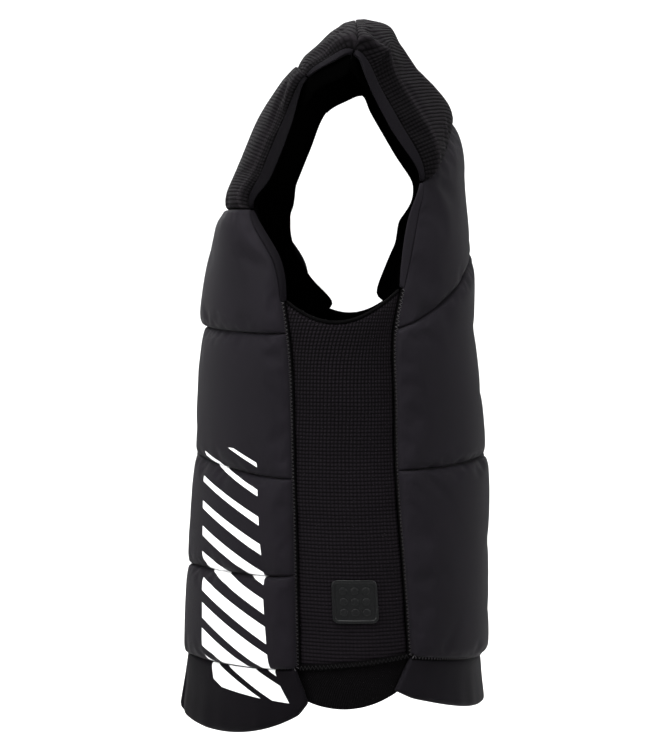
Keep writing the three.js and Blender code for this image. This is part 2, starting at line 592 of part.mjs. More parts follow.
function addMesh(name, geometry, colour, roughness = 0.85, metalness = 0) {
  const mesh = new THREE.Mesh(geometry, new THREE.MeshStandardMaterial({ color: colour, roughness, metalness }));
  mesh.name = name;
  vest.add(mesh);
}

function addPair(name, geometry, colour) {
  addMesh(name + '_left', geometry, colour);
  addMesh(name + '_right', mirrored(geometry), colour);
}

for (const pad of Object.values(PADS)) pad.form = torso;
for (const [name, pad] of Object.entries(PADS)) addPair(name, padGeometry(pad), pad.colour);
const frontPads = [PADS.hip_pad, PADS.belly_pad, PADS.rib_pad, PADS.chest_pad, PADS.front_yoke, PADS.shoulder_front];
const backPads = [PADS.shoulder_back, PADS.back_yoke, PADS.back_mid, PADS.back_low];
addPair('front_lining', liningGeometry(frontPads), LINING);
addPair('back_lining', liningGeometry(backPads), LINING);
for (const [name, sheet] of Object.entries(SHEETS)) addPair(name, sheetGeometry(sheet), sheet.colour);

// Facings cover the pads from the armhole's floor upwards.
const floorRise = (2 * BINDING_RADIUS + 2) / LENGTH;
const chestShare = (FLANK_TOP.front + floorRise - SEAMS.rib.out) / (SEAMS.chest.out - SEAMS.rib.out);
const yokeShare = (BACK_DATUM - FLANK_TOP.back - floorRise - STRAP_TIP.out) / (YOKE_EDGE.out - STRAP_TIP.out);
const FACINGS = {
  chest_pad: [chestShare, 1],
  front_yoke: [0, 1],
  shoulder_front: [0, 1],
  shoulder_back: [0, 1],
  back_yoke: [0, yokeShare],
};
const FACING_END = 0.012; // share of a pad left clear at each end of its facing
for (const [name, [from, to]] of Object.entries(FACINGS)) {
  addPair(name + '_facing', facingGeometry(PADS[name], from + FACING_END, to - FACING_END), SMOOTH);
}
addPair('neck_binding', neckBinding(), SMOOTH);
addPair('arm_binding', armBinding(), SMOOTH);

addMesh('spine_panel', sheetGeometry({ form: torso, from: fixed(NECK_BACK), to: fixed(BACK_DATUM - BACK_HEM.in),
  inner: fixed(-SPINE_EDGE), outer: fixed(SPINE_EDGE), wall: SPINE_WALL, columns: 4, rows: 16 }), KNIT);
addMesh('zip_chain', chainGeometry(), RUBBER, 0.5);
addMesh('zip_slider', wrapOnto(sliderGeometry(), torso, [0, SLIDER_AT], CHAIN_LIFT), METAL, 0.4, 0.9);
const badgeParts = [badgePlate(), ...badgeStuds()].map((geometry) =>
  wrapOnto(geometry, flank, BADGE_PLACE, SIDE_WALL + BADGE_LAY));
addMesh('side_badge', joined(badgeParts), RUBBER, 0.5);

export default vest;
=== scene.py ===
import bpy
import math
import bmesh
import numpy as np
from mathutils import Matrix, Vector


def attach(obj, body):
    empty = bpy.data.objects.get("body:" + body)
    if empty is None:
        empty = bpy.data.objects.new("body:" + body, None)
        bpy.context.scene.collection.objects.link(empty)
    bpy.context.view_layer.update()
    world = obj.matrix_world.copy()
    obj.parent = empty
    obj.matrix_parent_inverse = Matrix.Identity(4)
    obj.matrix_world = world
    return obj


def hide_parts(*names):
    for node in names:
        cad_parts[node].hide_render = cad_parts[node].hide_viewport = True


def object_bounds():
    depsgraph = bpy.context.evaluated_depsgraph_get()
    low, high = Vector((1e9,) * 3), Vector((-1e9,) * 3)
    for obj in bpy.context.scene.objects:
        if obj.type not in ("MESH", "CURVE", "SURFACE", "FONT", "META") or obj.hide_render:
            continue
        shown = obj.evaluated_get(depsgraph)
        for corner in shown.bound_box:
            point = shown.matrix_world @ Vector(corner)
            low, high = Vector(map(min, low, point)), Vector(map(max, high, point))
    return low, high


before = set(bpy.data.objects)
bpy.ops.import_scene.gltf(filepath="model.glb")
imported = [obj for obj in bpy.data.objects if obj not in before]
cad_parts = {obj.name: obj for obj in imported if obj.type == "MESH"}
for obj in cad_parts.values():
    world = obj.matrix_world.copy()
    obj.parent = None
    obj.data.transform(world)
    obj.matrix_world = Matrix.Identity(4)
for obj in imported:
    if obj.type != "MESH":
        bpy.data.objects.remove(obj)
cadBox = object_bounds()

scene = bpy.context.scene
bpy.ops.object.select_all(action="DESELECT")

# Camera and light
cameraPlace = {"azimuth": 92.0, "distance": 1.600, "height": -0.2016, "aside": -0.014, "lens": 84.05,
               "lookAside": 10 / 1751, "lookDown": 97 / 1751, "clipEnd": 20}


def turned(direction):
    return direction.to_track_quat("-Z", "Y").to_euler()


def placeCamera(s):
    turn = math.radians(s["azimuth"])
    away = Vector((math.sin(turn), -math.cos(turn), 0))
    right = Vector((math.cos(turn), math.sin(turn), 0))
    eye = away * s["distance"] + right * s["aside"] + Vector((0, 0, s["height"]))
    look = -away - right * s["lookAside"] - Vector((0, 0, s["lookDown"]))
    bpy.ops.object.camera_add(location=eye, rotation=turned(look))
    scene.camera = bpy.context.object
    scene.camera.data.lens = s["lens"]
    scene.camera.data.clip_end = s["clipEnd"]


placeCamera(cameraPlace)

# Soft boxes: place, size, power, spread in degrees and the point each one faces
softBoxes = {
    "overhead": {"place": (0.7, -0.2, 1.0), "size": 1.0, "power": 20, "spread": 120, "aim": (0, 0, -0.15)},
    "frontKey": {"place": (1.0, -1.7, 0.5), "size": 1.2, "power": 9, "spread": 50, "aim": (0, 0, 0.0)},
    "backFill": {"place": (1.35, 1.6, 0.5), "size": 1.2, "power": 6.0, "spread": 50, "aim": (0, 0, -0.02)},
    "farSide": {"place": (-1.8, -0.6, 0.7), "size": 1.4, "power": 22, "spread": 180, "aim": (0, 0, -0.25)},
    "wallWash": {"place": (-1.6, 0, 2.6), "size": 2.6, "power": 120, "spread": 180, "aim": (-3.4, 0, 0.2)},
}
for name, box in softBoxes.items():
    aim = Vector(box["aim"]) - Vector(box["place"])
    bpy.ops.object.light_add(type="AREA", location=box["place"], rotation=turned(aim))
    light = bpy.context.object
    light.name = name
    light.data.size = box["size"]
    light.data.energy = box["power"]
    light.data.spread = math.radians(box["spread"])

studio = {"Color": (0.93, 0.94, 0.95, 1), "Strength": 0.45}
world = bpy.data.worlds.new("studio")
world.use_nodes = True
for key, value in studio.items():
    world.node_tree.nodes["Background"].inputs[key].default_value = value
scene.world = world
scene.view_settings.view_transform = "Standard"

# Body form
# Everything below is in millimetres until a mesh is made.
body = {"length": 600, "halfWidth": 172, "frontDepth": 150, "backDepth": 110,
        "outerReach": 0.3, "flankReach": 0.36, "backDatum": 1.113}

# at, inY, inZ, outX, outY, outZ, turn, dip, reach
sections = [
    (0.0, -1.045, -1.0, 0.965, -0.3, -1.0, 66, 0, 0.34),
    (0.1, -0.985, -0.9, 0.959, -0.3, -0.9, 66, 0, 0.26),
    (0.25, -0.965, -0.75, 0.942, -0.313, -0.75, 66, 0, 0.2),
    (0.393, -0.93, -0.607, 0.93, -0.328, -0.607, 66, 0, 0.19),
    (0.588, -0.86, -0.412, 0.948, -0.358, -0.412, 64, 0, 0.28),
    (0.683, -0.787, -0.317, 0.919, -0.425, -0.317, 50, 0, 0.4),
    (0.758, -0.693, -0.242, 0.855, -0.56, -0.242, 38, 2, 0.38),
    (0.83, -0.63, -0.167, 0.849, -0.467, -0.193, 32, 10, 0.36),
    (0.895, -0.545, -0.103, 0.866, -0.36, -0.127, 26, 16, 0.36),
    (0.965, -0.335, -0.052, 0.895, -0.253, -0.063, 14, 22, 0.36),
    (1.02, -0.167, -0.008, 0.919, -0.113, -0.04, 5, 26, 0.36),
    (1.065, 0.0, 0.018, 0.93, -0.02, -0.034, 0, 30, 0.36),
    (1.12, 0.27, 0.003, 0.913, 0.055, -0.064, -5, 34, 0.36),
    (1.19, 0.545, -0.048, 0.878, 0.255, -0.128, -18, 32, 0.36),
    (1.275, 0.75, -0.13, 0.855, 0.473, -0.197, -30, 22, 0.38),
    (1.345, 0.765, -0.217, 0.872, 0.436, -0.25, -40, 10, 0.4),
    (1.42, 0.795, -0.307, 0.907, 0.382, -0.307, -47, 0, 0.42),
    (1.52, 0.809, -0.407, 0.942, 0.28, -0.407, -57, 0, 0.44),
    (1.613, 0.864, -0.5, 0.936, 0.284, -0.5, -57, 0, 0.44),
    (1.713, 0.909, -0.6, 0.919, 0.294, -0.6, -57, 0, 0.44),
    (1.863, 0.918, -0.75, 0.93, 0.354, -0.75, -57, 0, 0.44),
    (1.997, 0.927, -0.884, 0.942, 0.4, -0.884, -58, 0, 0.44),
    (2.113, 0.982, -1.0, 0.948, 0.418, -1.0, -58, 0, 0.44),
]


def mix(start, end, share):
    return start + (end - start) * share


def unitVector(v):
    return v / np.maximum(np.linalg.norm(v, axis=-1, keepdims=True), 1e-9)


def sectionControls(row):
    at, inY, inZ, outX, outY, outZ, turn, dip, reach = row
    depth = lambda share: share * (body["frontDepth"] if share < 0 else body["backDepth"])
    start = np.array([0, depth(inY), inZ * body["length"]])
    end = np.array([outX * body["halfWidth"], depth(outY), outZ * body["length"]])
    turn, dip = math.radians(turn), math.radians(dip)
    heading = np.array([math.cos(dip) * math.cos(turn), math.cos(dip) * math.sin(turn), -math.sin(dip)])
    chord = np.linalg.norm(end - start)
    return [start, start + [chord * reach, 0, 0], end - heading * chord * body["outerReach"], end]


sectionPlaces = np.array([row[0] for row in sections])
sectionPoints = np.array([sectionControls(row) for row in sections])
slopes = np.diff(sectionPoints, axis=0) / np.diff(sectionPlaces)[:, None, None]
tangents = np.concatenate([slopes[:1], (slopes[:-1] + slopes[1:]) / 2, slopes[-1:]])


def controlsAt(at):
    at = np.clip(at, sectionPlaces[0], sectionPlaces[-1])
    i = np.clip(np.searchsorted(sectionPlaces, at, side="right") - 1, 0, len(sections) - 2)
    span = sectionPlaces[i + 1] - sectionPlaces[i]
    t = ((at - sectionPlaces[i]) / span)[..., None, None]
    span = span[..., None, None]
    return ((2 * t**3 - 3 * t**2 + 1) * sectionPoints[i] + (t**3 - 2 * t**2 + t) * span * tangents[i]
            + (3 * t**2 - 2 * t**3) * sectionPoints[i + 1] + (t**3 - t**2) * span * tangents[i + 1])


def curvePoint(controls, t):
    t = np.asarray(t, float)[..., None]
    return ((1 - t)**3 * controls[..., 0, :] + 3 * (1 - t)**2 * t * controls[..., 1, :]
            + 3 * (1 - t) * t**2 * controls[..., 2, :] + t**3 * controls[..., 3, :])


# The form of the half body: u runs from the middle plane to the side, at runs from the front hem over the
# shoulder to the back hem, and a negative u is on the other side.
def torso(u, at):
    u, at = np.broadcast_arrays(np.asarray(u, float), np.asarray(at, float))
    point = curvePoint(controlsAt(at), np.abs(u))
    point[..., 0] *= np.where(u < 0, -1, 1)
    return point


# The form across the wearer's side, from the front seam (w 0) to the back seam (w 1), at a level.
def flank(w, level):
    w, level = np.broadcast_arrays(np.asarray(w, float), np.asarray(level, float))
    front, back = controlsAt(1 + level), controlsAt(body["backDatum"] - level)
    reach = np.linalg.norm(front[..., 3, :] - back[..., 3, :], axis=-1, keepdims=True) * body["flankReach"]
    outFront = front[..., 3, :] + unitVector(front[..., 3, :] - front[..., 2, :]) * reach
    outBack = back[..., 3, :] + unitVector(back[..., 3, :] - back[..., 2, :]) * reach
    return curvePoint(np.stack([front[..., 3, :], outFront, outBack, back[..., 3, :]], axis=-2), w)


# The form all round at a level: g 0 to 1 is the front, 1 to 2 the side and 2 to 3 the back.
def girth(g, level):
    g, level = np.broadcast_arrays(np.asarray(g, float), np.asarray(level, float))
    front = torso(np.clip(g, 0, 1), 1 + level)
    side = flank(np.clip(g - 1, 0, 1), level)
    back = torso(3 - np.clip(g, 2, 3), body["backDatum"] - level)
    g = g[..., None]
    return np.where(g <= 1, front, np.where(g <= 2, side, back))


# Point, outward normal, and the directions along p and q of a form at a place.
def frameOn(form, p, q, step=1.5e-3):
    along = unitVector(form(p + step, q) - form(p - step, q))
    up = unitVector(form(p, q + step) - form(p, q - step))
    return form(p, q), unitVector(np.cross(along, up)), along, up


# Point, outward normal and sideways direction along a line of places on a form.
def seamFrame(form, p, q):
    point, normal = frameOn(form, p, q)[:2]
    return point, normal, unitVector(np.cross(normal, unitVector(np.gradient(point, axis=0))))


# Seams
# Levels and places are shares of the body's length.
seams = {
    "apex": 1.065, "pinch": 0.965, "neckFront": 0.872, "neckBack": 1.285, "neckReach": 0.45,
    "placket": 0.125, "spine": 0.1, "chain": 0.045,
    "frontHem": (-0.996, -0.921), "frontSkirt": (-0.905, -0.873), "hip": (-0.768, -0.745),
    "belly": (-0.599, -0.612), "rib": (-0.409, -0.412), "chest": (-0.242, -0.242),
    "backSkirt": (-0.898, -0.856), "backMid": (-0.6, -0.6), "backHem": (-0.972, -0.902),
    "strapTip": (1.245, 1.285), "yokeEdge": (1.407, 1.52),
    "flankTop": (-0.367, -0.352, 0.038), "sideHem": (-0.918, -0.902, 0.018),
    "frontHemSweep": 3, "backHemSweep": 1.35, "skirtOverlap": 0.09, "skirtFlare": 0.16,
}


def neckEdge(at):
    span = np.where(at < seams["apex"], seams["apex"] - seams["neckFront"], seams["neckBack"] - seams["apex"])
    k = np.minimum(np.abs(at - seams["apex"]) / span, 1)
    return seams["neckReach"] * np.sqrt(1 - k * k)


def frontInner(at):
    return np.maximum(neckEdge(at), seams["placket"])


def backInner(at):
    return np.maximum(neckEdge(at), seams["spine"])


def frontAt(name):
    return lambda a: 1 + mix(*seams[name], a)


def backAt(name):
    return lambda a: body["backDatum"] - mix(*seams[name], a)


def placeAt(name):
    return lambda a: mix(*seams[name], a)


def fixed(value):
    return lambda a: np.zeros_like(np.asarray(a, float)) + value


def sagging(name):
    front, back, sag = seams[name]
    return lambda w: mix(front, back, w) - sag * 4 * w * (1 - w)


flankTop, sideHem = sagging("flankTop"), sagging("sideHem")


def flankFoot(w):
    return mix(seams["frontSkirt"][1], seams["backSkirt"][1], w)


def downSkirt(level, seam, hem):
    return np.clip((level - seam) / (hem - seam), 0, 1)


def frontCorner(level):
    return 1 + seams["skirtOverlap"] * downSkirt(level, seams["frontSkirt"][1], seams["sideHem"][0])


def backCorner(level):
    return 2 - seams["skirtFlare"] * downSkirt(level, seams["backSkirt"][1], seams["sideHem"][1])


# Making meshes
def makeObject(name, points, faces, cut):
    mesh = bpy.data.meshes.new(name)
    mesh.from_pydata((np.asarray(points) / 1000).tolist(), [], faces)
    build = bmesh.new()
    build.from_mesh(mesh)
    bmesh.ops.recalc_face_normals(build, faces=build.faces)
    build.to_mesh(mesh)
    build.free()
    mesh.shade_smooth()
    layer = mesh.uv_layers.new(name="cut")
    corners = np.zeros(len(mesh.loops), int)
    mesh.loops.foreach_get("vertex_index", corners)
    layer.data.foreach_set("uv", (np.asarray(cut)[corners] / 1000).astype(np.float32).ravel())
    piece = bpy.data.objects.new(name, mesh)
    scene.collection.objects.link(piece)
    return piece


def borderOf(index):
    return np.concatenate([index[0, :-1], index[:-1, -1], index[-1, :0:-1], index[:0:-1, 0]])


# A closed wall between two sheets of points on one grid, rows by columns. A brace is a ring of points that
# far below the outer edge, which keeps the edge crisp.
def makeWall(name, inner, outer, cut, lined=False, brace=0):
    rows, columns = outer.shape[:2]
    count = rows * columns
    index = np.arange(count).reshape(rows, columns)
    quads = np.stack([index[:-1, :-1], index[:-1, 1:], index[1:, 1:], index[1:, :-1]], -1).reshape(-1, 4)
    border = borderOf(index)
    after = np.roll(border, -1)
    points = np.concatenate([outer.reshape(-1, 3), inner.reshape(-1, 3)])
    cut = np.concatenate([cut.reshape(-1, 2)] * 2)
    if brace:
        ring = np.arange(len(border)) + 2 * count
        nextRing = np.roll(ring, -1)
        rim = np.concatenate([np.stack([after, border, ring, nextRing], -1),
                              np.stack([nextRing, ring, border + count, after + count], -1)])
        down = unitVector(points[border + count] - points[border]) * brace
        points = np.concatenate([points, points[border] + down])
        cut = np.concatenate([cut, cut[border]])
    else:
        rim = np.stack([after, border, border + count, after + count], -1)
    faces = np.concatenate([quads, quads[:, ::-1] + count, rim]).tolist()
    wall = makeObject(name, points, faces, cut)
    if lined:  # the inner faces take the second material
        for polygon in wall.data.polygons:
            polygon.material_index = int(all(i >= count for i in polygon.vertices))
    return wall


# A solid through rings of points, with flat ends.
def makeRings(name, rings):
    count, sides = rings.shape[:2]
    index = np.arange(count * sides).reshape(count, sides)
    onward = np.roll(index, -1, axis=1)
    quads = np.stack([index[:-1], onward[:-1], onward[1:], index[1:]], -1).reshape(-1, 4)
    faces = quads.tolist() + [index[0, ::-1].tolist(), index[-1].tolist()]
    around = np.linalg.norm(np.diff(rings, axis=1, append=rings[:, :1]), axis=-1).cumsum(1)
    along = np.concatenate([[0], np.linalg.norm(np.diff(rings.mean(1), axis=0), axis=-1).cumsum()])
    cut = np.stack([around, np.broadcast_to(along[:, None], around.shape)], -1)
    return makeObject(name, rings.reshape(-1, 3), faces, cut.reshape(-1, 2))


# A tube of elliptic section along a path, with the directions of its width and its height at each point.
def makeTube(name, path, side, lift, halfWidth, halfHeight, sides=8):
    turns = np.arange(sides) / sides * 2 * np.pi
    widths = np.broadcast_to(halfWidth, len(path))
    rings = (path[:, None] + side[:, None] * (widths[:, None] * np.cos(turns))[..., None]
             + lift[:, None] * (np.sin(turns) * halfHeight)[None, :, None])
    return makeRings(name, rings)


def coordinatesOf(mesh):
    numbers = np.zeros(len(mesh.vertices) * 3)
    mesh.vertices.foreach_get("co", numbers)
    return numbers.reshape(-1, 3)


# Selects the piece, which becomes the active one, and the others.
def selectOnly(piece, *others):
    bpy.ops.object.select_all(action="DESELECT")
    for each in (*others, piece):
        each.select_set(True)
    bpy.context.view_layer.objects.active = piece


def applyModifier(piece, kind, **settings):
    modifier = piece.modifiers.new(kind, kind)
    for key, value in settings.items():
        setattr(modifier, key, value)
    selectOnly(piece)
    bpy.ops.object.modifier_apply(modifier=modifier.name)


def smoothOver(piece, levels=1):
    applyModifier(piece, "SUBSURF", levels=levels, render_levels=levels)
    piece.data.shade_smooth()


def mirrorPiece(piece, name):
    mesh = piece.data.copy()
    mesh.name = name
    mesh.transform(Matrix.Scale(-1, 4, (1, 0, 0)))
    mesh.flip_normals()
    twin = bpy.data.objects.new(name, mesh)
    scene.collection.objects.link(twin)
    return twin


# Panels
# A panel is a stretch of a form: start(a) and end(a) are its two ends along the form, and inner(q) and
# outer(q) its two sides there. It is held back by half a seam gap all round.
def panelGrid(panel):
    form, gap = panel["form"], panel.get("gap", 1.0)

    def place(a, b):
        q = mix(panel["start"](a), panel["end"](a), b)
        return mix(panel["inner"](q), panel["outer"](q), a), q

    def spanOf(pairs):
        line = form(*place(*pairs))
        return np.linalg.norm(np.diff(line, axis=0), axis=-1).sum()

    even = np.linspace(0, 1, 41)
    width, height = spanOf((even, even * 0 + 0.5)), spanOf((even * 0 + 0.5, even))

    def crowded(span):  # stations that stand closer near both ends
        t = np.linspace(0, 1, max(4, round(span / panel["spacing"])) + 1)
        return t - 0.07 * np.sin(2 * np.pi * t)

    a, b = np.meshgrid(crowded(width), crowded(height))
    hold = lambda t, span: mix(gap / 2 / span, 1 - gap / 2 / span, t)
    point, normal = frameOn(form, *place(hold(a, width), hold(b, height)))[:2]
    return {"a": a, "b": b, "width": width, "height": height, "point": point, "normal": normal,
            "place": place, "cut": cutOf(point, panel)}


# The cloth's own measure: distance in from the outer edge, and along the middle from the first end. Knitted
# rows run level on a panel with levelRows, and lean on one with a skew.
def cutOf(point, panel):
    steps = np.linalg.norm(np.diff(point, axis=1), axis=-1)
    across = np.concatenate([steps[:, ::-1].cumsum(1)[:, ::-1], np.zeros((len(point), 1))], axis=1)
    middle = point[:, point.shape[1] // 2]
    along = np.concatenate([[0], np.linalg.norm(np.diff(middle, axis=0), axis=-1).cumsum()])[:, None]
    rows = point[..., 2] + 700 if panel.get("levelRows") else along - panel.get("skew", 0) * across
    return np.stack([across, rows], -1)


def rolled(distance, radius, share):
    k = 1 - np.minimum(distance / radius, 1)
    return share + (1 - share) * np.sqrt(1 - k * k)


# Small gathers along a sewn edge: a few waves of different lengths.
def gathers(seed, distance):
    numbers = np.random.default_rng(seed)
    total = 0
    for wave in (8.5, 13, 21, 34):
        share = numbers.uniform(0.5, 1)
        total = total + share * np.sin(distance / wave * 2 * np.pi + numbers.uniform(0, 6.3))
    return total / 3


# The lower of two heights, rounded where they cross.
def softLower(first, second, blend):
    return -blend * np.logaddexp(-first / blend, -second / blend)


# How far in from the armhole a strap's slanting face reaches: a lens with a tip at each end.
def slantReach(pad, b):
    tip, full = pad["reach"]
    return tip + (full - tip) * np.sin(np.pi * np.clip(b, 0, 1)) ** 0.6


# How high a pad stands at (a, b).
def padHeight(pad, a, b, width, height, seed):
    edges = pad["edges"]
    fromArm = (1 - a) * width
    tuck = 1 - pad.get("tuck", 0) * np.exp(-fromArm / padShape["tuckReach"])  # lower beside the armhole
    ends = (rolled(b * height, pad.get("startRoll", pad["roll"]), edges["start"] * tuck)
            * rolled((1 - b) * height, pad.get("endRoll", pad["roll"]), edges["end"] * tuck))
    inside = rolled(a * width, edges["innerRoll"], edges["inner"])
    if "reach" in pad:  # a slanting face from the armhole up to a ridge
        reach = slantReach(pad, b)
        slant = edges["outer"] + (1 + pad["ridge"] - edges["outer"]) * fromArm / reach
        beyond = 1 + pad["ridge"] * np.exp(-np.maximum(fromArm - reach, 0) / pad["decay"])
        outside = softLower(slant, beyond, pad["crease"])
    else:
        outside = rolled(fromArm, edges["outerRoll"], edges["outer"])
    near = lambda distance: np.exp(-distance / padShape["puckerReach"])
    puckers = (gathers(seed, a * width) * near(b * height) + gathers(seed + 1, a * width) *
               near((1 - b) * height) + gathers(seed + 2, b * height) * near(a * width) * 0.5)
    swell = np.sin(a * 2.6 + seed) * np.sin(b * 3.1 + 2 * seed) * padShape["swell"]
    place, spread, extra = pad.get("crown", (0.5, 1, 0))
    full = pad["foam"] * mix(*pad.get("ramp", (1, 1)), b) * (1 + extra * np.exp(-((b - place) / spread)**2))
    return full * ends * inside * outside + puckers * padShape["gather"] + swell * np.sin(np.pi * b)


# How full a pad stands: reach of the tuck beside the armhole and of the puckers at the seams, size of the
# slow swell and of the puckers, and width of the fold along a slanting face.
padShape = {"tuckReach": 11, "puckerReach": 7, "swell": 0.7, "gather": 0.22, "fold": 1.6}
cloth = {"lining": 2.0, "lay": 0.7, "side": 4.0, "skirt": 5.0, "skirtLift": 3.0}


# A pad's edges: how high its walls stand there, as a share of its foam, and how far in the rounding reaches.
def edgesOf(inner, innerRoll, outer, start, end, outerRoll=None):
    return {"inner": inner, "innerRoll": innerRoll, "outer": outer, "outerRoll": outerRoll,
            "start": start, "end": end}


sideEdges = edgesOf(0.4, 34, 0.45, 0.64, 0.64, 13)
backEdges = edgesOf(0.45, 16, 0.45, 0.64, 0.64, 13)
chestEdges = edgesOf(0.4, 24, 0.34, 0.68, 0.42, 15)
yokeEdges = edgesOf(0.4, 16, 0.38, 0.6, 0.6)
frontStrapEdges = edgesOf(0.45, 16, 0.32, 0.55, 1.0)
backStrapEdges = edgesOf(0.4, 16, 0.38, 0.98, 0.42)


# Lets a pad's armhole edge stand back (a share above 0) or out between two places, for a facing like a lens.
def edgeLens(start, end, share):
    return lambda q: 1 - share * np.sin(np.pi * np.clip((q - start) / (end - start), 0, 1))


# ramp: how full the pad is at its start and at its end. crown: place, spread and size of an extra swell.
# reach, ridge, decay, crease: the slanting face beside the armhole. hold: how far the cover is held flat at
# its start and its end.
def padOf(**settings):
    return {"form": torso, "outer": fixed(1), "gap": 0.06, "spacing": 3.4, **settings}


apex, pinch, tip = seams["apex"], seams["pinch"], seams["strapTip"][1]
pads = {
    "hip_pad": padOf(start=frontAt("frontSkirt"), end=frontAt("hip"), inner=frontInner, foam=12.5, roll=10,
                     edges=sideEdges, cloth="print", ramp=(1.35, 1.25)),
    "belly_pad": padOf(start=frontAt("hip"), end=frontAt("belly"), inner=frontInner, foam=12.5, roll=10,
                       edges=sideEdges, cloth="print", ramp=(1.25, 1.0)),
    "rib_pad": padOf(start=frontAt("belly"), end=frontAt("rib"), inner=frontInner, foam=12.5, roll=10,
                     edges=sideEdges, cloth="print"),
    "chest_pad": padOf(start=frontAt("rib"), end=frontAt("chest"), inner=frontInner, foam=16, roll=11,
                       edges=chestEdges, cloth="smooth", endRoll=34, tuck=0.3,
                       outer=edgeLens(0.636, 0.758, -0.02)),
    "front_yoke": padOf(start=frontAt("chest"), end=fixed(pinch), inner=frontInner, foam=10, roll=10,
                        edges=yokeEdges, cloth="strap", tuck=0.5, ramp=(1.0, 0.75), crown=(0.6, 0.3, -0.4),
                        reach=(3.5, 10), ridge=0.2, decay=12, crease=0.02, spacing=2.2,
                        outer=edgeLens(0.758, pinch, 0.07)),
    "shoulder_front": padOf(start=fixed(pinch), end=fixed(apex), inner=frontInner, foam=12, roll=9,
                            edges=frontStrapEdges, cloth="strap", tuck=0.3, ramp=(0.5, 1.0),
                            crown=(0.35, 0.25, -0.35), reach=(3.5, 8), ridge=0.06, decay=12, crease=0.04,
                            spacing=2.2, skew=-0.25, hold=(0, 5), brace=1.2),
    "shoulder_back": padOf(start=fixed(apex), end=placeAt("strapTip"), inner=backInner, foam=14.5, roll=9,
                           edges=backStrapEdges, cloth="strap", endRoll=22, tuck=0.4, ramp=(0.84, 0.88),
                           crown=(0.22, 0.13, 0.6), reach=(4, 21), ridge=0.3, decay=13, crease=0.02,
                           spacing=2.2, skew=0.45, hold=(5, 0), brace=1.2, outer=edgeLens(apex, tip, 0.045)),
    "back_yoke": padOf(start=placeAt("strapTip"), end=placeAt("yokeEdge"), inner=backInner, foam=10, roll=11,
                       edges=yokeEdges, cloth="smooth", startRoll=26, tuck=0.4, ramp=(0.6, 1.0),
                       reach=(8, 26), ridge=0.2, decay=18, crease=0.06),
    "back_mid": padOf(start=placeAt("yokeEdge"), end=backAt("backMid"), inner=backInner, foam=13, roll=11,
                      edges=backEdges, cloth="smooth"),
    "back_low": padOf(start=backAt("backMid"), end=backAt("backSkirt"), inner=backInner, foam=13, roll=11,
                      edges=backEdges, cloth="smooth", ramp=(1.2, 1.0)),
}


# Materials
def feed(tree, sockets, values):
    for key, value in values.items():
        if isinstance(value, bpy.types.NodeSocket):
            tree.links.new(value, sockets[key])
        else:
            sockets[key].default_value = value


def addNode(tree, kind, settings=None, inputs=None):
    made = tree.nodes.new(kind)
    for key, value in (settings or {}).items():
        setattr(made, key, value)
    feed(tree, made.inputs, inputs or {})
    return made


def calc(tree, operation, first, second=0.0, third=0.0):
    values = {0: first, 1: second, 2: third}
    return addNode(tree, "ShaderNodeMath", {"operation": operation}, values).outputs[0]


def oneLess(tree, value):
    return calc(tree, "SUBTRACT", 1.0, value)


def waveOf(tree, value, pitch, angle):
    return calc(tree, "SINE", calc(tree, "MULTIPLY", calc(tree, "DIVIDE", value, pitch), angle))


def splitUp(tree, value):
    return addNode(tree, "ShaderNodeSeparateXYZ", inputs={0: value}).outputs


def noiseOf(tree, place, scale, detail, roughness=0.5):
    return addNode(tree, "ShaderNodeTexNoise", inputs={
        "Vector": place, "Scale": scale, "Detail": detail, "Roughness": roughness}).outputs["Fac"]


# Inputs without a value are vectors; all the others, and the outputs, are numbers.
def newGroup(name, inputs, outputs):
    group = bpy.data.node_groups.new(name, "ShaderNodeTree")
    for label, value in inputs.items():
        kind = "NodeSocketVector" if value is None else "NodeSocketFloat"
        socket = group.interface.new_socket(name=label, in_out="INPUT", socket_type=kind)
        if value is not None:
            socket.default_value = value
    for label in outputs:
        group.interface.new_socket(name=label, in_out="OUTPUT", socket_type="NodeSocketFloat")
    return group, group.nodes.new("NodeGroupInput").outputs, group.nodes.new("NodeGroupOutput").inputs


# Waffle knit: pillows between ribs and columns, which wander a little.
waffleShape = {"wander": 0.0008, "wanderScale": 60.0, "columnPower": 1.1, "ribPower": 0.8}


def buildWaffle(s):
    group, put, result = newGroup("waffleKnit", {
        "Cut": None, "Column Width": 0.0026, "Rib Height": 0.0029, "Column Depth": 0.6, "Rib Depth": 1.0},
        ["Height", "Groove"])
    split = splitUp(group, put["Cut"])
    wander = calc(group, "SUBTRACT", noiseOf(group, put["Cut"], s["wanderScale"], 1.0), 0.5)
    drift = calc(group, "MULTIPLY", wander, s["wander"])

    def pillow(axis, pitch, power, depth):
        wave = waveOf(group, calc(group, "ADD", split[axis], drift), pitch, math.pi)
        rounded = calc(group, "POWER", calc(group, "ABSOLUTE", wave), power)
        return oneLess(group, calc(group, "MULTIPLY", oneLess(group, rounded), depth))

    height = calc(group, "MULTIPLY", pillow("X", put["Column Width"], s["columnPower"], put["Column Depth"]),
                  pillow("Y", put["Rib Height"], s["ribPower"], put["Rib Depth"]))
    feed(group, result, {"Height": height, "Groove": oneLess(group, height)})
    return group


# Fine jersey face of neoprene: tiny wales with a little fuzz, and slow variation of shade.
def buildJersey():
    group, put, result = newGroup("jerseyFace", {"Cut": None, "Wale": 0.0007, "Place": None},
                                  ["Height", "Shade"])
    split = splitUp(group, put["Cut"])
    wales = calc(group, "MULTIPLY", *(waveOf(group, split[axis], put["Wale"], 2 * math.pi) for axis in "XY"))
    fuzz = noiseOf(group, put["Place"], 1500.0, 2.0, 0.7)
    feed(group, result, {"Height": calc(group, "MULTIPLY_ADD", wales, 0.25, fuzz),
                         "Shade": noiseOf(group, put["Place"], 22.0, 3.0, 0.6)})
    return group


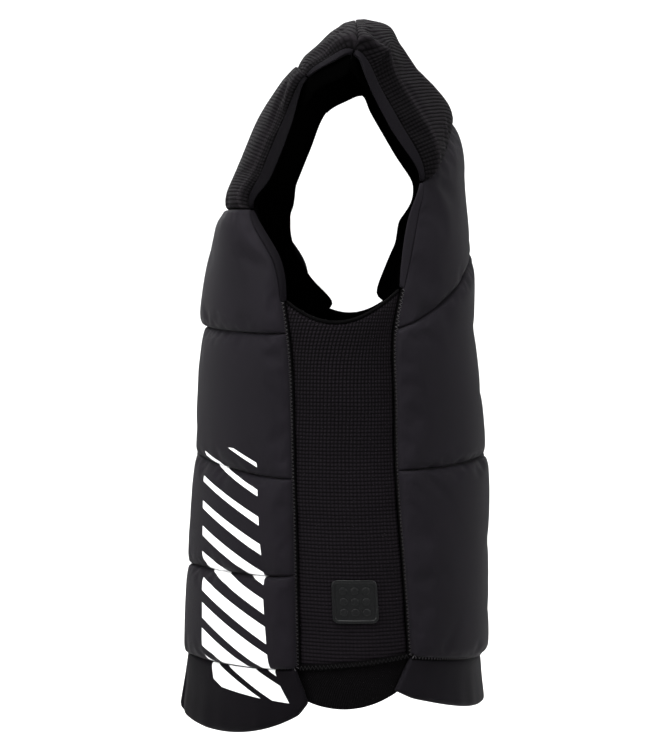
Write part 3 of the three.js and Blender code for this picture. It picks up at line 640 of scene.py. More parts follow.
# Printed bars: slanting bars that thin out upwards in a leaning column. Its two sides are measured round the
# body from the side seam, and the bars run straight as seen from the wearer's side.
printDesign = {"foot": -0.553, "top": -0.345, "pitch": 0.0235, "slant": 0.5, "bold": 0.78, "thin": 0.12,
               "near": 0.016, "far": 0.104, "lean": -0.012}


def buildPrint(s):
    group, put, result = newGroup("printedBars", {"Cut": None, "Place": None}, ["Mask"])
    inward, place = splitUp(group, put["Cut"])["X"], splitUp(group, put["Place"])
    climb = calc(group, "DIVIDE", calc(group, "SUBTRACT", place["Z"], s["foot"]), s["top"] - s["foot"])
    slanted = calc(group, "MULTIPLY_ADD", place["Y"], s["slant"], place["Z"])
    phase = calc(group, "FRACT", calc(group, "DIVIDE", slanted, s["pitch"]))
    thick = calc(group, "MULTIPLY_ADD", climb, s["thin"] - s["bold"], s["bold"])
    mask = calc(group, "LESS_THAN", phase, thick)
    leaning = calc(group, "MULTIPLY_ADD", climb, s["lean"], inward)
    for value, low, high in ((leaning, s["near"], s["far"]), (climb, 0.0, 1.0)):
        mask = calc(group, "MULTIPLY", mask, calc(group, "GREATER_THAN", value, low))
        mask = calc(group, "MULTIPLY", mask, calc(group, "LESS_THAN", value, high))
    feed(group, result, {"Mask": mask})
    return group


waffle, jersey, bars = buildWaffle(waffleShape), buildJersey(), buildPrint(printDesign)


def startMaterial(name):
    material = bpy.data.materials.new(name)
    material.use_nodes = True
    tree = material.node_tree
    places = addNode(tree, "ShaderNodeTexCoord").outputs["Object"]
    cut = addNode(tree, "ShaderNodeUVMap", {"uv_map": "cut"}).outputs["UV"]
    return material, tree, places, cut


def useGroup(tree, group, **inputs):
    inputs = {key.replace("_", " "): value for key, value in inputs.items()}
    return addNode(tree, "ShaderNodeGroup", {"node_tree": group}, inputs).outputs


# Sockets 6, 7 and 2 of this node are its two colours and the mixed one.
def blendColours(tree, share, first, second):
    return addNode(tree, "ShaderNodeMix", {"data_type": "RGBA"}, {0: share, 6: first, 7: second}).outputs[2]


def setSurface(tree, height, distance, values):
    bump = addNode(tree, "ShaderNodeBump", inputs={"Strength": 1.0, "Distance": distance, "Height": height})
    feed(tree, tree.nodes["Principled BSDF"].inputs, {**values, "Normal": bump.outputs["Normal"]})


# Scales a colour: by the fabric's own tone, and for the darker copies of the smooth neoprene by painted shade.
def toned(colour, toneAndShade=1.0):
    return (*(value * toneAndShade for value in colour), 1)


smoothFinish = {"dark": (0.0031, 0.0026, 0.0037), "light": (0.0060, 0.0050, 0.0070), "roughness": 0.75,
                "ink": (0.80, 0.80, 0.80), "sheen": 0.01, "specular": 0.06, "relief": 0.00006}


def makeSmooth(name, printed=False, toneAndShade=1.0):
    s = smoothFinish
    material, tree, places, cut = startMaterial(name)
    face = useGroup(tree, jersey, Cut=cut, Place=places)
    colour = blendColours(tree, face["Shade"], toned(s["dark"], toneAndShade), toned(s["light"], toneAndShade))
    rough = calc(tree, "MULTIPLY_ADD", face["Shade"], 0.12, s["roughness"] - 0.06)
    if printed:
        mask = useGroup(tree, bars, Cut=cut, Place=places)["Mask"]
        colour = blendColours(tree, mask, colour, toned(s["ink"]))
        rough = calc(tree, "MULTIPLY_ADD", mask, -0.14, rough)
    setSurface(tree, face["Height"], s["relief"], {
        "Base Color": colour, "Roughness": rough, "Sheen Weight": s["sheen"] * toneAndShade, "Sheen Roughness": 0.45,
        "Specular IOR Level": s["specular"] * toneAndShade})
    return material


# shaded: how much painted shade darkens a strap's slanting face; a painted highlight of a lighter colour lies
# along its fold, at the strength set beside that colour.
# low: how deep the columns still are at the hem, as a share.
knitFinish = {"ridge": (0.0064, 0.0050, 0.0066), "paintedShade": (0.0002, 0.0002, 0.0002), "shaded": 0.35,
              "ridgeHighlight": (0.0130, 0.0115, 0.0130), "worn": 1.6, "roughness": 0.78, "sheen": 0.003,
              "specular": 0.03, "wale": 0.0005, "fuzz": 0.08, "low": 0.35}
knitFade = {"From Min": -0.50, "From Max": -0.25}


def makeKnit(name, columnWidth, ribHeight, columnDepth, ribDepth, relief, fade=None, toneAndShade=1.0):
    s = knitFinish
    material, tree, places, cut = startMaterial(name)
    if fade == "slant":  # columns only on a strap's slanting face
        slant = addNode(tree, "ShaderNodeAttribute", {"attribute_name": "slant"}).outputs["Fac"]
        columnDepth = calc(tree, "MULTIPLY", slant, columnDepth)
    elif fade == "down":  # columns flatten out towards the hem
        columnDepth = addNode(tree, "ShaderNodeMapRange", inputs={
            **knitFade, "Value": splitUp(tree, places)["Z"], "To Min": columnDepth * s["low"],
            "To Max": columnDepth}).outputs["Result"]
    cells = useGroup(tree, waffle, Cut=cut, Column_Width=columnWidth, Rib_Height=ribHeight,
                     Column_Depth=columnDepth, Rib_Depth=ribDepth)
    face = useGroup(tree, jersey, Cut=cut, Place=places, Wale=s["wale"])
    # painted shade: the knit's colour darkens into the grooves of the waffle, towards its near-black shade
    # colour
    share = calc(tree, "MULTIPLY", calc(tree, "POWER", cells["Height"], 0.9),
                 calc(tree, "MULTIPLY_ADD", face["Shade"], 0.5, 0.7))
    colour = blendColours(tree, share, toned(s["paintedShade"], toneAndShade), toned(s["ridge"], toneAndShade))
    if fade == "slant":
        # painted shade: a strap's slanting face is darkened towards the near-black shade colour
        shaded = calc(tree, "MULTIPLY", slant, s["shaded"])
        colour = blendColours(tree, shaded, colour, toned(s["paintedShade"]))
        # painted highlight: a lighter colour along the fold where the slanting face meets the top face
        fold = calc(tree, "MULTIPLY", slant, oneLess(tree, slant))
        colour = blendColours(tree, calc(tree, "MULTIPLY", fold, s["worn"]), colour, toned(s["ridgeHighlight"]))
    setSurface(tree, calc(tree, "MULTIPLY_ADD", face["Height"], s["fuzz"], cells["Height"]), relief, {
        "Base Color": colour, "Roughness": calc(tree, "MULTIPLY_ADD", cells["Groove"], 0.15, s["roughness"]),
        "Sheen Weight": s["sheen"], "Sheen Roughness": 0.5, "Specular IOR Level": s["specular"]})
    return material


def makePlain(name, dark, light, roughness, relief, scale, specular):
    material, tree, places, cut = startMaterial(name)
    grain = noiseOf(tree, places, scale, 4.0, 0.65)
    setSurface(tree, grain, relief, {
        "Base Color": blendColours(tree, grain, toned(dark), toned(light)),
        "Roughness": calc(tree, "MULTIPLY_ADD", grain, 0.16, roughness - 0.08),
        "Specular IOR Level": specular})
    return material


finishes = {
    "smooth": makeSmooth("smoothNeoprene"),
    "print": makeSmooth("printedNeoprene", printed=True),
    # The skirts and facings are darker copies of the smooth neoprene: painted shade low down on the skirts and
    # beside the armholes, with sheen and specular lowered to match.
    "frontSkirt": makeSmooth("printedSkirt", printed=True, toneAndShade=0.5),
    "backSkirt": makeSmooth("plainSkirt", toneAndShade=0.7),
    "facing": makeSmooth("facingNeoprene", toneAndShade=0.55),
    "frontFacing": makeSmooth("frontFacingNeoprene", toneAndShade=0.28),
    "strap": makeKnit("strapKnit", 0.0027, 0.0031, 0.6, 1.0, 0.0011, fade="slant", toneAndShade=0.54),
    "side": makeKnit("sideKnit", 0.0030, 0.0031, 1.0, 0.9, 0.0010, fade="down", toneAndShade=0.9),
    "skirt": makeKnit("skirtRib", 0.0019, 0.0027, 0.9, 0.35, 0.0006, toneAndShade=0.2),
    "placket": makeKnit("placketKnit", 0.0018, 0.0024, 0.6, 0.8, 0.0005),
}
plainFinishes = {  # name, dark, light, roughness, relief, scale of the grain, specular
    "lining": ("liningJersey", (0.0001, 0.0001, 0.0001), (0.0004, 0.0004, 0.0004), 0.95, 0.0001, 900, 0.0),
    "seamTape": ("seamTape", (0.0003, 0.0003, 0.0003), (0.0010, 0.0009, 0.0010), 0.85, 0.0002, 1500, 0.02),
    "thread": ("seamThread", (0.022, 0.020, 0.022), (0.055, 0.051, 0.055), 0.5, 0.0001, 900, 0.2),
    "darkThread": ("hemThread", (0.002, 0.002, 0.002), (0.006, 0.005, 0.006), 0.6, 0.0001, 900, 0.1),
    "rubber": ("badgeRubber", (0.0020, 0.0021, 0.0022), (0.0034, 0.0036, 0.0038), 0.29, 0.00004, 1400, 0.22),
    "metal": ("sliderPaint", (0.008, 0.008, 0.009), (0.014, 0.014, 0.015), 0.32, 0.00003, 700, 0.5),
    "floor": ("floorPaint", (0.86, 0.86, 0.86), (0.88, 0.88, 0.88), 0.7, 0.00001, 3, 0.5),
}
for name, row in plainFinishes.items():
    finishes[name] = makePlain(*row)
rightFinish = {"print": "smooth", "frontSkirt": "backSkirt"}  # the right side has no print
print("materials made")


def finishPiece(piece, finish, slot, *nodes, inside=None):
    marks = [polygon.material_index for polygon in piece.data.polygons] if inside else None
    piece.data.materials.clear()
    piece.data.materials.append(finishes[finish])
    if inside:
        piece.data.materials.append(finishes[inside])
        piece.data.polygons.foreach_set("material_index", marks)
    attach(piece, "root")
    if nodes:
        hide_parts(*nodes)


def finishSides(pair, node, finish, slot, inside=None):
    for piece, side, own in zip(pair, ("_left", "_right"), (finish, rightFinish.get(finish, finish))):
        finishPiece(piece, own, slot, node + side, inside=inside)


# Pads
# cap: the most that a cover may swell. expected: about how much it does, which is taken off beforehand, and
# less so within the reach of a held edge.
puff = {"frames": 16, "cap": 3.5, "expected": 1.2, "reach": 5}
puffCloth = {"quality": 6, "mass": 0.3, "tension_stiffness": 18.0, "compression_stiffness": 18.0,
             "shear_stiffness": 6, "bending_stiffness": 1.2, "use_pressure": True,
             "uniform_pressure_force": 4.0, "shrink_min": -0.015, "vertex_group_mass": "sewn"}


# Air pressure swells the covers between their sewn edges. All the pads run together.
def swellPads(pieces):
    starts = [coordinatesOf(piece.data) for piece, sewn in pieces]
    for piece, sewn in pieces:
        piece.vertex_groups.new(name="sewn").add([int(i) for i in sewn], 1.0, "REPLACE")
        modifier = piece.modifiers.new("Cloth", "CLOTH")
        modifier.point_cache.frame_start, modifier.point_cache.frame_end = 1, puff["frames"]
        for key, value in puffCloth.items():
            setattr(modifier.settings, key, value)
        modifier.settings.effector_weights.gravity = 0
        modifier.collision_settings.use_collision = False
    for number in range(1, puff["frames"] + 1):
        scene.frame_set(number)
    graph = bpy.context.evaluated_depsgraph_get()
    cap = puff["cap"] / 1000
    for (piece, sewn), start in zip(pieces, starts):
        move = coordinatesOf(piece.evaluated_get(graph).data) - start
        length = np.linalg.norm(move, axis=-1, keepdims=True)
        move *= np.minimum(1, cap * np.tanh(length / cap) / np.maximum(length, 1e-9))
        piece.modifiers.clear()
        piece.vertex_groups.clear()
        piece.data.vertices.foreach_set("co", (start + move).ravel())
        piece.data.update()
    scene.frame_set(1)


def makePad(name, pad, seed):
    grid = panelGrid(pad)
    stand = padHeight(pad, grid["a"], grid["b"], grid["width"], grid["height"], seed)
    base = cloth["lining"] + cloth["lay"]
    rim = np.zeros(stand.shape, bool)
    rim[[0, -1], :] = rim[:, [0, -1]] = True
    held = pad.get("hold", (0, 0))
    fromHeld = np.minimum(grid["b"] * grid["height"] - held[0], (1 - grid["b"]) * grid["height"] - held[1])
    rim |= fromHeld < 0
    swelling = np.where(rim, 0, puff["expected"] * np.clip(fromHeld / puff["reach"], 0, 1))
    inner = grid["point"] + grid["normal"] * base
    outer = grid["point"] + grid["normal"] * (base + stand - swelling)[..., None]
    piece = makeWall(name + "_left_cover", inner, outer, grid["cut"], brace=pad.get("brace", 0))
    count = len(piece.data.vertices)
    if pad["cloth"] == "strap":  # tells the knit where the slanting face is
        past = (1 - grid["a"]) * grid["width"] - slantReach(pad, grid["b"])
        slant = 0.5 - 0.5 * np.tanh(past / padShape["fold"])
        layer = piece.data.attributes.new("slant", "FLOAT", "POINT")
        values = np.concatenate([slant.ravel(), slant.ravel(), borderOf(slant)])[:count]
        layer.data.foreach_set("value", values.astype(np.float32))
    return piece, np.concatenate([np.nonzero(rim.ravel())[0], np.arange(rim.size, count)]), grid


madePads, padGrids = {}, {}
for number, (name, pad) in enumerate(pads.items()):
    *madePads[name], padGrids[name] = makePad(name, pad, 7 * number + 3)
swellPads(list(madePads.values()))
print("pads swollen")
for name, (piece, sewn) in madePads.items():
    smoothOver(piece)
    finish = pads[name]["cloth"]
    finishSides((piece, mirrorPiece(piece, name + "_right_cover")), name, finish,
                "knit" if finish == "strap" else "smooth")
print("pads made")

# Thin panels
# The lining turns out past the armhole edge and wraps the pads: extra share of the half width, by place, on
# the left and on the right. It tucks inward there, by liningTuck millimetres for a whole half width.
liningTurn = {
    "front": (([0.634, 0.66, 0.80, 0.90, 0.935, 0.97, 1.00, 1.065],
               [0, 0.03, 0.02, 0.02, 0.07, 0.11, 0.13, 0.12]),
              ([0.60, 0.612, 0.634, 0.66, 0.70, 0.758, 0.80, 0.84], [0, 0.18, 0.13, 0.05, 0, 0.08, 0.06, 0])),
    "back": (([1.065, 1.10, 1.15, 1.27, 1.30, 1.43, 1.455, 1.468], [0.12, 0.06, 0, 0, 0.02, 0.03, 0.03, 0]),
             ([1.25, 1.27, 1.30, 1.33, 1.38, 1.43, 1.45, 1.466, 1.485, 1.50],
              [0, 0.03, 0.07, 0.11, 0.10, 0.13, 0.14, 0.15, 0.14, 0])),
}
liningTuck = 75


def turnedOut(turn):
    return lambda q: 1 + np.interp(q, *turn)


def panelOf(**settings):
    return {"form": torso, "lift": 0, "spacing": 4, "held": "stretched", **settings}


foot, neckFront = fixed(1 + seams["frontHem"][0]), fixed(seams["neckFront"])
chain, lining = seams["chain"], "lining"
thinPanels = {
    "front_lining": panelOf(start=frontAt("frontSkirt"), end=fixed(apex), inner=frontInner, outer=None,
                            wall=cloth["lining"], cloth=lining, slot=lining, turn="front", gap=0.2, spacing=5),
    "back_lining": panelOf(start=fixed(apex), end=backAt("backSkirt"), inner=backInner, outer=None,
                           wall=cloth["lining"], cloth=lining, slot=lining, turn="back", gap=0.2, spacing=5),
    "side_panel": panelOf(form=flank, start=flankFoot, end=flankTop, inner=fixed(0), outer=fixed(1),
                          wall=cloth["side"], cloth="side", slot="knit", wave=0.9, levelRows=True),
    "front_skirt": panelOf(form=girth, start=lambda a: mix(*seams["frontHem"], a ** seams["frontHemSweep"]),
                           end=placeAt("frontSkirt"), inner=fixed(seams["placket"]), outer=frontCorner,
                           wall=cloth["skirt"], cloth="frontSkirt", slot="smooth", lift=cloth["skirtLift"],
                           liftTop=3.5, wave=1.0, held="hung"),
    "side_skirt": panelOf(form=girth, start=sideHem, end=flankFoot, inner=lambda q: frontCorner(q) - 0.07,
                          outer=lambda q: backCorner(q) + 0.09, wall=2.2, cloth="skirt", slot="knit",
                          wave=0.3, spacing=3, levelRows=True, held="hung"),
    "back_skirt": panelOf(form=girth, start=lambda a: mix(*seams["backHem"], (1 - a) ** seams["backHemSweep"]),
                          end=lambda a: mix(*seams["backSkirt"][::-1], a), inner=backCorner,
                          outer=fixed(3 - seams["spine"]), wall=cloth["skirt"], cloth="backSkirt",
                          slot="smooth", lift=cloth["skirtLift"], wave=1.0, held="hung"),
    "placket": panelOf(start=foot, end=neckFront, inner=fixed(chain), outer=fixed(seams["placket"]), wall=10,
                       cloth="placket", slot="knit", gap=0.06),
    "zip_tape": panelOf(start=foot, end=neckFront, inner=fixed(0), outer=fixed(chain), wall=1.5, cloth=lining,
                        slot=lining, gap=0.06),
}
spine = panelOf(start=fixed(seams["neckBack"]), end=fixed(body["backDatum"] - seams["backHem"][0]),
                inner=fixed(-seams["spine"]), outer=fixed(seams["spine"]), wall=5, cloth="side", slot="knit",
                gap=0.06)
thinShape = {"roll": 4.0, "edge": 0.55, "waveAcross": 0.35, "waveAlong": 0.3, "alongShare": 0.6}


def makeThinPanel(name, panel, seed, s=thinShape):
    grid = panelGrid(panel)
    a, b = grid["a"], grid["b"]
    edge = np.minimum(np.minimum(a, 1 - a) * grid["width"], np.minimum(b, 1 - b) * grid["height"])
    soft = rolled(edge, min(s["roll"], panel["wall"]), s["edge"])
    wave = panel.get("wave", 0) * (gathers(seed, a * grid["width"] * s["waveAcross"]) * (1 - b)
                                   + gathers(seed + 1, b * grid["height"] * s["waveAlong"]) * s["alongShare"])
    lift = panel["lift"] + panel.get("liftTop", 0) * b + wave
    if "turn" in panel:
        lift = lift - liningTuck * np.maximum(grid["place"](a, b)[0] - 1, 0)
    inner = grid["point"] + grid["normal"] * lift[..., None]
    outer = grid["point"] + grid["normal"] * (lift + panel["wall"] * soft)[..., None]
    piece = makeWall(name, inner, outer, grid["cut"], lined=True)
    smoothOver(piece)
    return piece, grid


for number, (name, panel) in enumerate(thinPanels.items()):
    outers = [turnedOut(turn) for turn in liningTurn[panel["turn"]]] if "turn" in panel else [panel["outer"]]
    made = [makeThinPanel(name + "_left_cloth", dict(panel, outer=outer), 40 + 3 * number)
            for outer in outers]
    pair = (made[0][0], mirrorPiece(made[-1][0], name + "_right_cloth"))
    if len(made) > 1:  # the two sides are turned out differently
        bpy.data.objects.remove(made[-1][0])
    finishSides(pair, name, panel["cloth"], panel["slot"], inside=lining)
piece, grid = makeThinPanel("spine_cloth", spine, 90)
finishPiece(piece, spine["cloth"], spine["slot"], "spine_panel", inside=lining)
print("thin panels made")

# Facings and bindings
# The stretch of the pad's edge, how far the gusset swells there on the left and on the right, and its cloth
facings = {
    "chest_pad": {"span": (0.258, 0.995), "bulge": (0.3, 4.5), "cloth": "facing"},
    "front_yoke": {"span": (0.005, 0.995), "bulge": (9.5, 0.3), "cloth": "frontFacing"},
    "shoulder_front": {"span": (0.005, 0.995), "bulge": (5, 0.3), "cloth": "facing"},
    "shoulder_back": {"span": (0.005, 0.995), "bulge": (7.5, 0.3), "cloth": "facing"},
    "back_yoke": {"span": (0.005, 0.762), "bulge": (7, 4), "cloth": "smooth"},
}
facingShape = {"tip": 0.5, "wall": 2.4, "gap": 0.15, "topGap": 0.3, "footRise": 0.1, "pinch": 0.55,
               "taper": 0.8, "rings": 60, "sides": 14}


# The gusset that closes a pad along the armhole, as high as the pad's wall there and pinched at both ends.
def makeFacing(name, pad, grid, span, bulge, s):
    t = np.linspace(0, 1, s["rings"])
    b = mix(*span, t)
    u, at = grid["place"](np.ones_like(b), b)
    point, normal, along, up = frameOn(torso, u, at)
    outward = unitVector(np.cross(up, normal))
    stand = padHeight(pad, np.ones_like(b), b, grid["width"], grid["height"], 0)
    top = cloth["lining"] + cloth["lay"] + np.maximum(stand, 1) - s["topGap"]
    back = np.linalg.norm(torso(np.maximum(u, 1), at) - point, axis=-1)  # how far the pad's edge stands back
    foot = np.minimum(back, cloth["lining"] + s["footRise"])
    full = np.sin(np.pi * t) ** s["pinch"]
    k = np.linspace(0, 1, s["sides"])
    wall = s["tip"] + (s["wall"] - s["tip"]) * full
    out = (s["gap"] + wall[:, None] * (1 - s["taper"] * k ** 4)[None]
           + (bulge * full + back)[:, None] * np.sin(np.pi * k ** 1.1)[None])
    out = np.concatenate([out, np.full((len(t), 2), s["gap"])], 1)
    lift = mix(foot[:, None], top[:, None], np.append(k, [0.85, 0.1])[None])
    rings = point[:, None] + outward[:, None] * out[..., None] + normal[:, None] * lift[..., None]
    return makeRings(name, rings)


for name, row in facings.items():
    made = [makeFacing(name + "_facing_left_cloth", pads[name], padGrids[name], row["span"], bulge, facingShape)
            for bulge in row["bulge"]]
    for piece in made:
        smoothOver(piece)
    pair = (made[0], mirrorPiece(made[1], name + "_facing_right_cloth"))
    bpy.data.objects.remove(made[1])
    finishSides(pair, name + "_facing", row["cloth"], "smooth")

bindingSize = {"radius": 1.7, "gap": 0.2, "sideGap": 1.0, "sides": 12, "neckTurn": (0.28, math.pi - 0.224),
               "neckHigh": 1.15, "armRun": (0.02, 0.98), "armHigh": 1.05}


def makeNeckBinding(name, s):
    turn = np.linspace(*s["neckTurn"], 90)
    front = turn < math.pi / 2
    span = np.where(front, apex - seams["neckFront"], seams["neckBack"] - apex)
    at = apex - span * np.cos(turn)
    point, normal, side = seamFrame(torso, np.where(front, frontInner(at), backInner(at)), at)
    path = point + side * (s["radius"] + s["gap"]) + normal * s["radius"]
    return makeTube(name, path, side, normal, s["radius"], s["radius"] * s["neckHigh"], s["sides"])


def makeArmBinding(name, s):
    w = np.linspace(*s["armRun"], 50)
    point, normal, along, up = frameOn(flank, w, flankTop(w))
    path = point + up * (s["radius"] + s["gap"] - s["sideGap"]) + normal * s["radius"]
    return makeTube(name, path, up, normal, s["radius"], s["radius"] * s["armHigh"], s["sides"])


for name, maker in (("neck_binding", makeNeckBinding), ("arm_binding", makeArmBinding)):
    piece = maker(name + "_left_cloth", bindingSize)
    smoothOver(piece)
    finishSides((piece, mirrorPiece(piece, name + "_right_cloth")), name, "seamTape", "smooth")
print("facings and bindings made")

# Seams and stitches
stitch = {"tapeHalf": 2.7, "tapeThick": 0.8, "swing": 1.6, "pitch": 3.1, "thread": 0.36,
          "backHalf": 9.0, "backThick": 0.5, "backLift": -0.6, "backStep": 6}
placketStitch = {"u": 0.1, "lift": 10.1, "swing": 1.6, "pitch": 3.2, "thread": 0.4}


# Evenly spaced stations along a line of places on a form.
def walkForm(form, p, q, step):
    line = form(p, q)
    travelled = np.concatenate([[0], np.linalg.norm(np.diff(line, axis=0), axis=-1).cumsum()])
    stops = np.linspace(0, travelled[-1], max(3, round(travelled[-1] / step)))
    return np.interp(stops, travelled, p), np.interp(stops, travelled, q)


# A round thread through points, as a curve with a bevel that becomes a mesh.
def makeThread(name, path, radius):
    curve = bpy.data.curves.new(name, "CURVE")
    curve.dimensions = "3D"
    curve.bevel_depth = radius / 1000
    curve.bevel_resolution = 1
    curve.use_fill_caps = True
    line = curve.splines.new("POLY")
    line.points.add(len(path) - 1)
    for stop, place in zip(line.points, path / 1000):
        stop.co = (*place, 1)
    piece = bpy.data.objects.new(name, curve)
    scene.collection.objects.link(piece)
    selectOnly(piece)
    bpy.ops.object.convert(target="MESH")
    piece = bpy.context.object
    piece.data.shade_smooth()
    return piece


def addTrim(piece, finish, slot):
    twin = mirrorPiece(piece, piece.name + "_right")
    finishPiece(piece, finish, slot)
    finishPiece(twin, finish, slot)


def makeZigzag(name, point, normal, side, lift, s):
    swing = np.where(np.arange(len(point)) % 2, 1, -1)[:, None] * s["swing"]
    return makeThread(name + "_thread", point + normal * lift + side * swing, s["thread"])


# A tape sewn along the inside of a seam, which closes it to the light.
def addBackTape(name, form, p, q, s):
    p, q = walkForm(form, p, q, s["backStep"])
    point, normal, side = seamFrame(form, p, q)
    rounding = np.sqrt(1 - np.abs(np.linspace(-0.99, 0.99, len(p))) ** 16)
    addTrim(makeTube(name, point + normal * s["backLift"], side, normal, s["backHalf"] * rounding,
                     s["backThick"]), lining, lining)


run = np.linspace(0, 1, 60)
skirtRun = lambda hem: mix(seams[hem][0] + 0.004, -0.86, run)
seamLines = {  # flat seams: a thin raised band at a lift, with one zigzag thread over it
    "side_seam_front": (flank, run * 0, mix(flankFoot(0), flankTop(0) - 0.001, run), 5.4),
    "side_seam_back": (flank, run * 0 + 1, mix(flankFoot(1), flankTop(1) - 0.001, run), 5.4),
    "skirt_seam_front": (girth, mix(0.14, 1.0, run), mix(*seams["frontSkirt"], mix(0.015, 1, run)), 8.2),
    "skirt_seam_side": (girth, mix(1.02, 1.98, run), flankFoot(run), 4.4),
    "skirt_seam_back": (girth, mix(2.0, 2.89, run), mix(*seams["backSkirt"][::-1], run), 8.2),
}
tapeLines = {
    "apex": (torso, run * 0.52 + 0.46, run * 0 + apex),
    "pinch": (torso, mix(frontInner(pinch) + 0.02, 0.98, run), run * 0 + pinch),
    "zip_guard": (girth, run * 0 + chain, mix(seams["frontHem"][0] + 0.004, seams["neckFront"] - 1.004, run)),
    "placket_skirt": (girth, run * 0 + seams["placket"], skirtRun("frontHem")),
    "spine_skirt": (girth, run * 0 + 3 - seams["spine"], skirtRun("backHem")),
}
for name, (form, p, q, lift) in seamLines.items():
    point, normal, side = seamFrame(form, *walkForm(form, p, q, stitch["pitch"] / 2))
    band = makeTube(name + "_band", point + normal * lift, side, normal, stitch["tapeHalf"],
                    stitch["tapeThick"], 10)
    thread = makeZigzag(name, point, normal, side, lift + stitch["tapeThick"], stitch)
    addTrim(band, "seamTape", "knit")
    addTrim(thread, "darkThread" if name == "skirt_seam_side" else "thread", "knit")
    addBackTape(name + "_back", form, p, q, stitch)
for name, line in tapeLines.items():
    addBackTape(name + "_tape", *line, stitch)

at = np.linspace(1 + seams["frontHem"][0] + 0.01, seams["neckFront"] - 0.01, 80)
stops = walkForm(torso, at * 0 + placketStitch["u"], at, placketStitch["pitch"] / 2)
thread = makeZigzag("placket", *seamFrame(torso, *stops), placketStitch["lift"], placketStitch)
addTrim(thread, "thread", "knit")
print("stitches made")

# Zip
zipSize = {"lift": 1.9, "tooth": (2.6, 1.3, 2.4), "offset": 0.75, "pitch": 1.9, "top": 0.846,
           "slider": (10, 13, 4.6), "sliderRise": 7.5, "pull": (6.6, 31, 1.8), "bridge": (3, 6, 2.2)}


def makeBlock(name, size, bevel, segments=1):
    bpy.ops.object.select_all(action="DESELECT")
    bpy.ops.mesh.primitive_cube_add(size=1, location=(0, 0, 0))
    block = bpy.context.object
    block.name = name
    block.scale = [value / 1000 for value in size]
    bpy.ops.object.transform_apply(scale=True)
    applyModifier(block, "BEVEL", width=bevel / 1000, segments=segments, limit_method="NONE")
    return block


# The points in millimetres and the faces of a piece, which is taken away.
def takeMesh(piece):
    points, faces = coordinatesOf(piece.data) * 1000, [list(face.vertices) for face in piece.data.polygons]
    bpy.data.objects.remove(piece)
    return points, faces


# Bends a flat piece, drawn in x, y and z, onto a form round a place.
def wrapPoints(points, form, p, q, lift, step=1e-3):
    perP = np.linalg.norm(form(p + step, q) - form(p - step, q)) / (2 * step)
    perQ = np.linalg.norm(form(p, q + step) - form(p, q - step)) / (2 * step)
    point, normal = frameOn(form, p + points[:, 0] / perP, q + points[:, 1] / perQ)[:2]
    return point + normal * (lift + points[:, 2])[:, None]


def addHard(name, points, faces, cut, finish, slot, node):
    piece = makeObject(name, points, faces, cut)
    selectOnly(piece)
    bpy.ops.object.shade_smooth_by_angle(angle=math.radians(40))
    finishPiece(piece, finish, slot, node)


# One tooth is made, and its mesh is copied along the chain.
toothPoints, toothFaces = takeMesh(makeBlock("tooth", zipSize["tooth"], 0.25))
at = np.linspace(1 + seams["frontHem"][0] + 0.006, zipSize["top"], 200)
u, at = walkForm(torso, at * 0, at, zipSize["pitch"])
allPoints, allFaces = [], []
for number, place in enumerate(at):
    offset = -zipSize["offset"] if number % 2 else zipSize["offset"]
    shifted = toothPoints + [offset, 0, zipSize["tooth"][2] / 2]
    allFaces += [[i + len(toothPoints) * number for i in face] for face in toothFaces]
    allPoints.append(wrapPoints(shifted, torso, 0.0, place, zipSize["lift"]))
allPoints = np.concatenate(allPoints)
addHard("zip_teeth", allPoints, allFaces, allPoints[:, [0, 2]], "rubber", "rubber", "zip_chain")

height = zipSize["slider"][2]
sliderBody = makeBlock("sliderBody", zipSize["slider"], 1.4, 3)
sliderPull = makeBlock("sliderPull", zipSize["pull"], 0.8, 3)
bridge = makeBlock("sliderBridge", zipSize["bridge"], 0.6, 2)
for block, place in ((sliderPull, (0, 5 - zipSize["pull"][1] / 2, height)), (sliderBody, (0, 0, height / 2)),
                     (bridge, (0, 1, height + 0.6))):
    block.data.transform(Matrix.Translation(Vector(place) / 1000))
selectOnly(sliderBody, sliderPull, bridge)
bpy.ops.object.join()
points, faces = takeMesh(sliderBody)
sliderAt = zipSize["top"] + zipSize["sliderRise"] / body["length"]
addHard("zip_slider_painted", wrapPoints(points, torso, 0.0, sliderAt, zipSize["lift"]), faces, points[:, :2],
        "metal", "metal", "zip_slider")
print("zip made")

# Badge
badge = {"size": 35.5, "thick": 2.4, "corner": 5, "rim": 2.2, "sink": 1.0, "stud": 2.9, "pitch": 8.8,
         "soften": 0.35, "place": (0.53, -0.778), "lift": 3.7}


def pickFaces(piece, test):
    bpy.ops.object.mode_set(mode="OBJECT")
    for polygon in piece.data.polygons:
        polygon.select = test(polygon)
    bpy.ops.object.mode_set(mode="EDIT")


def pickEdges(piece, test):
    bpy.ops.object.mode_set(mode="OBJECT")
    places = [vertex.co for vertex in piece.data.vertices]
    for polygon in piece.data.polygons:
        polygon.select = False
    for edge in piece.data.edges:
        edge.select = test(*(places[i] for i in edge.vertices))
    bpy.ops.object.mode_set(mode="EDIT")


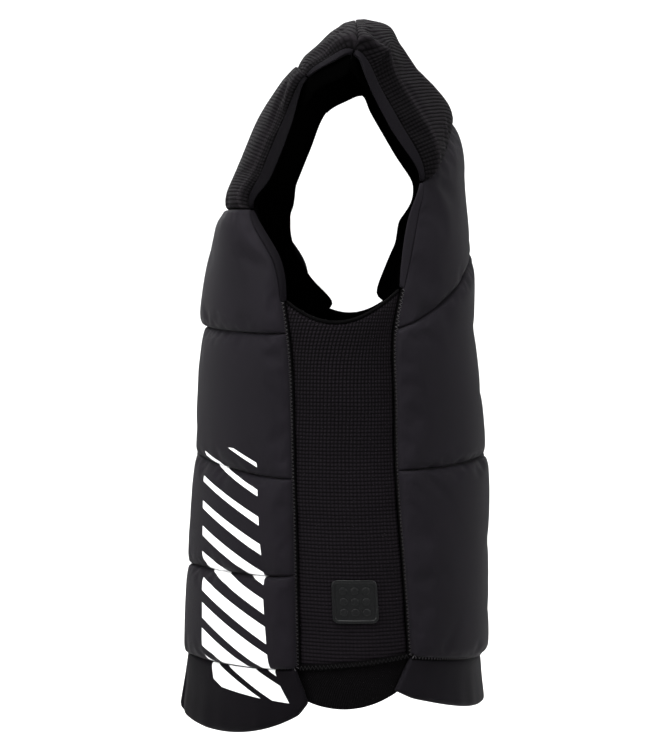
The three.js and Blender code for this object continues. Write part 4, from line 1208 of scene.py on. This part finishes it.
# A moulded square patch: rounded plate, raised rim, a sunk field and nine studs.
def makeBadge(name, s):
    m = {key: value / 1000 for key, value in s.items() if isinstance(value, (int, float))}
    bpy.ops.object.select_all(action="DESELECT")
    bpy.ops.mesh.primitive_cube_add(size=1, location=(0, 0, m["thick"] / 2))
    plate = bpy.context.object
    plate.name = name
    plate.scale = (m["size"], m["size"], m["thick"])
    bpy.ops.object.transform_apply(location=True, scale=True)
    bpy.ops.object.mode_set(mode="EDIT")
    bpy.ops.mesh.select_mode(type="EDGE")
    pickEdges(plate, lambda p, q: abs(p.z - q.z) > m["thick"] / 2)
    bpy.ops.mesh.bevel(offset=m["corner"], segments=6, affect="EDGES")
    bpy.ops.mesh.select_mode(type="FACE")
    pickFaces(plate, lambda f: f.normal.z > 0.9)
    bpy.ops.mesh.inset(thickness=m["rim"])
    bpy.ops.mesh.extrude_region_move(TRANSFORM_OT_translate={"value": (0, 0, -m["sink"])})
    bpy.ops.object.mode_set(mode="OBJECT")
    studs, tall = [], m["sink"] + 0.0008
    for column in (-1, 0, 1):
        for row in (-1, 0, 1):
            place = (column * m["pitch"], row * m["pitch"], m["thick"] - tall / 2)
            bpy.ops.mesh.primitive_cylinder_add(vertices=20, radius=m["stud"], depth=tall, location=place)
            studs.append(bpy.context.object)
    selectOnly(plate, *studs)
    bpy.ops.object.join()
    bpy.ops.object.transform_apply(location=True, rotation=True, scale=True)
    applyModifier(plate, "BEVEL", width=m["soften"], segments=3, limit_method="ANGLE")
    bpy.ops.object.mode_set(mode="EDIT")
    for line in np.arange(-16, 17, 4) / 1000:  # cut across, so that the wide faces can bend
        for normal in ((1, 0, 0), (0, 1, 0)):
            bpy.ops.mesh.select_all(action="SELECT")
            bpy.ops.mesh.bisect(plane_co=(line, line, 0), plane_no=normal)
    bpy.ops.object.mode_set(mode="OBJECT")
    return takeMesh(plate)


points, faces = makeBadge("badge_plate", badge)
addHard("badge_rubber", wrapPoints(points, flank, *badge["place"], badge["lift"]), faces, points[:, :2],
        "rubber", "rubber", "side_badge")
print("badge made")

# Floor, which sweeps up behind into a plain wall
sweep = {"drop": 0.40, "front": 6.0, "back": -3.2, "halfWidth": 8.0, "rise": 6.0, "bend": 1.6}


def makeSweep(name, s):
    low = cadBox[0][2] - s["drop"]
    bpy.ops.object.select_all(action="DESELECT")
    bpy.ops.mesh.primitive_plane_add(size=2, location=(0, 0, 0))
    floor = bpy.context.object
    floor.name = name
    floor.scale = ((s["front"] - s["back"]) / 2, s["halfWidth"], 1)
    floor.location = ((s["front"] + s["back"]) / 2, 0, low)
    bpy.ops.object.transform_apply(location=True, scale=True)
    bpy.ops.object.mode_set(mode="EDIT")
    bpy.ops.mesh.select_mode(type="EDGE")
    pickEdges(floor, lambda p, q: p.x < s["back"] + 0.01 and q.x < s["back"] + 0.01)
    bpy.ops.mesh.extrude_region_move(TRANSFORM_OT_translate={"value": (0, 0, s["rise"])})
    pickEdges(floor, lambda p, q: max(p.x, q.x) < s["back"] + 0.01 and max(p.z, q.z) < low + 0.01)
    bpy.ops.mesh.bevel(offset=s["bend"], segments=16, affect="EDGES")
    bpy.ops.object.mode_set(mode="OBJECT")
    floor.data.shade_smooth()
    return floor


floor = makeSweep("floor", sweep)
floor.data.materials.append(finishes["floor"])
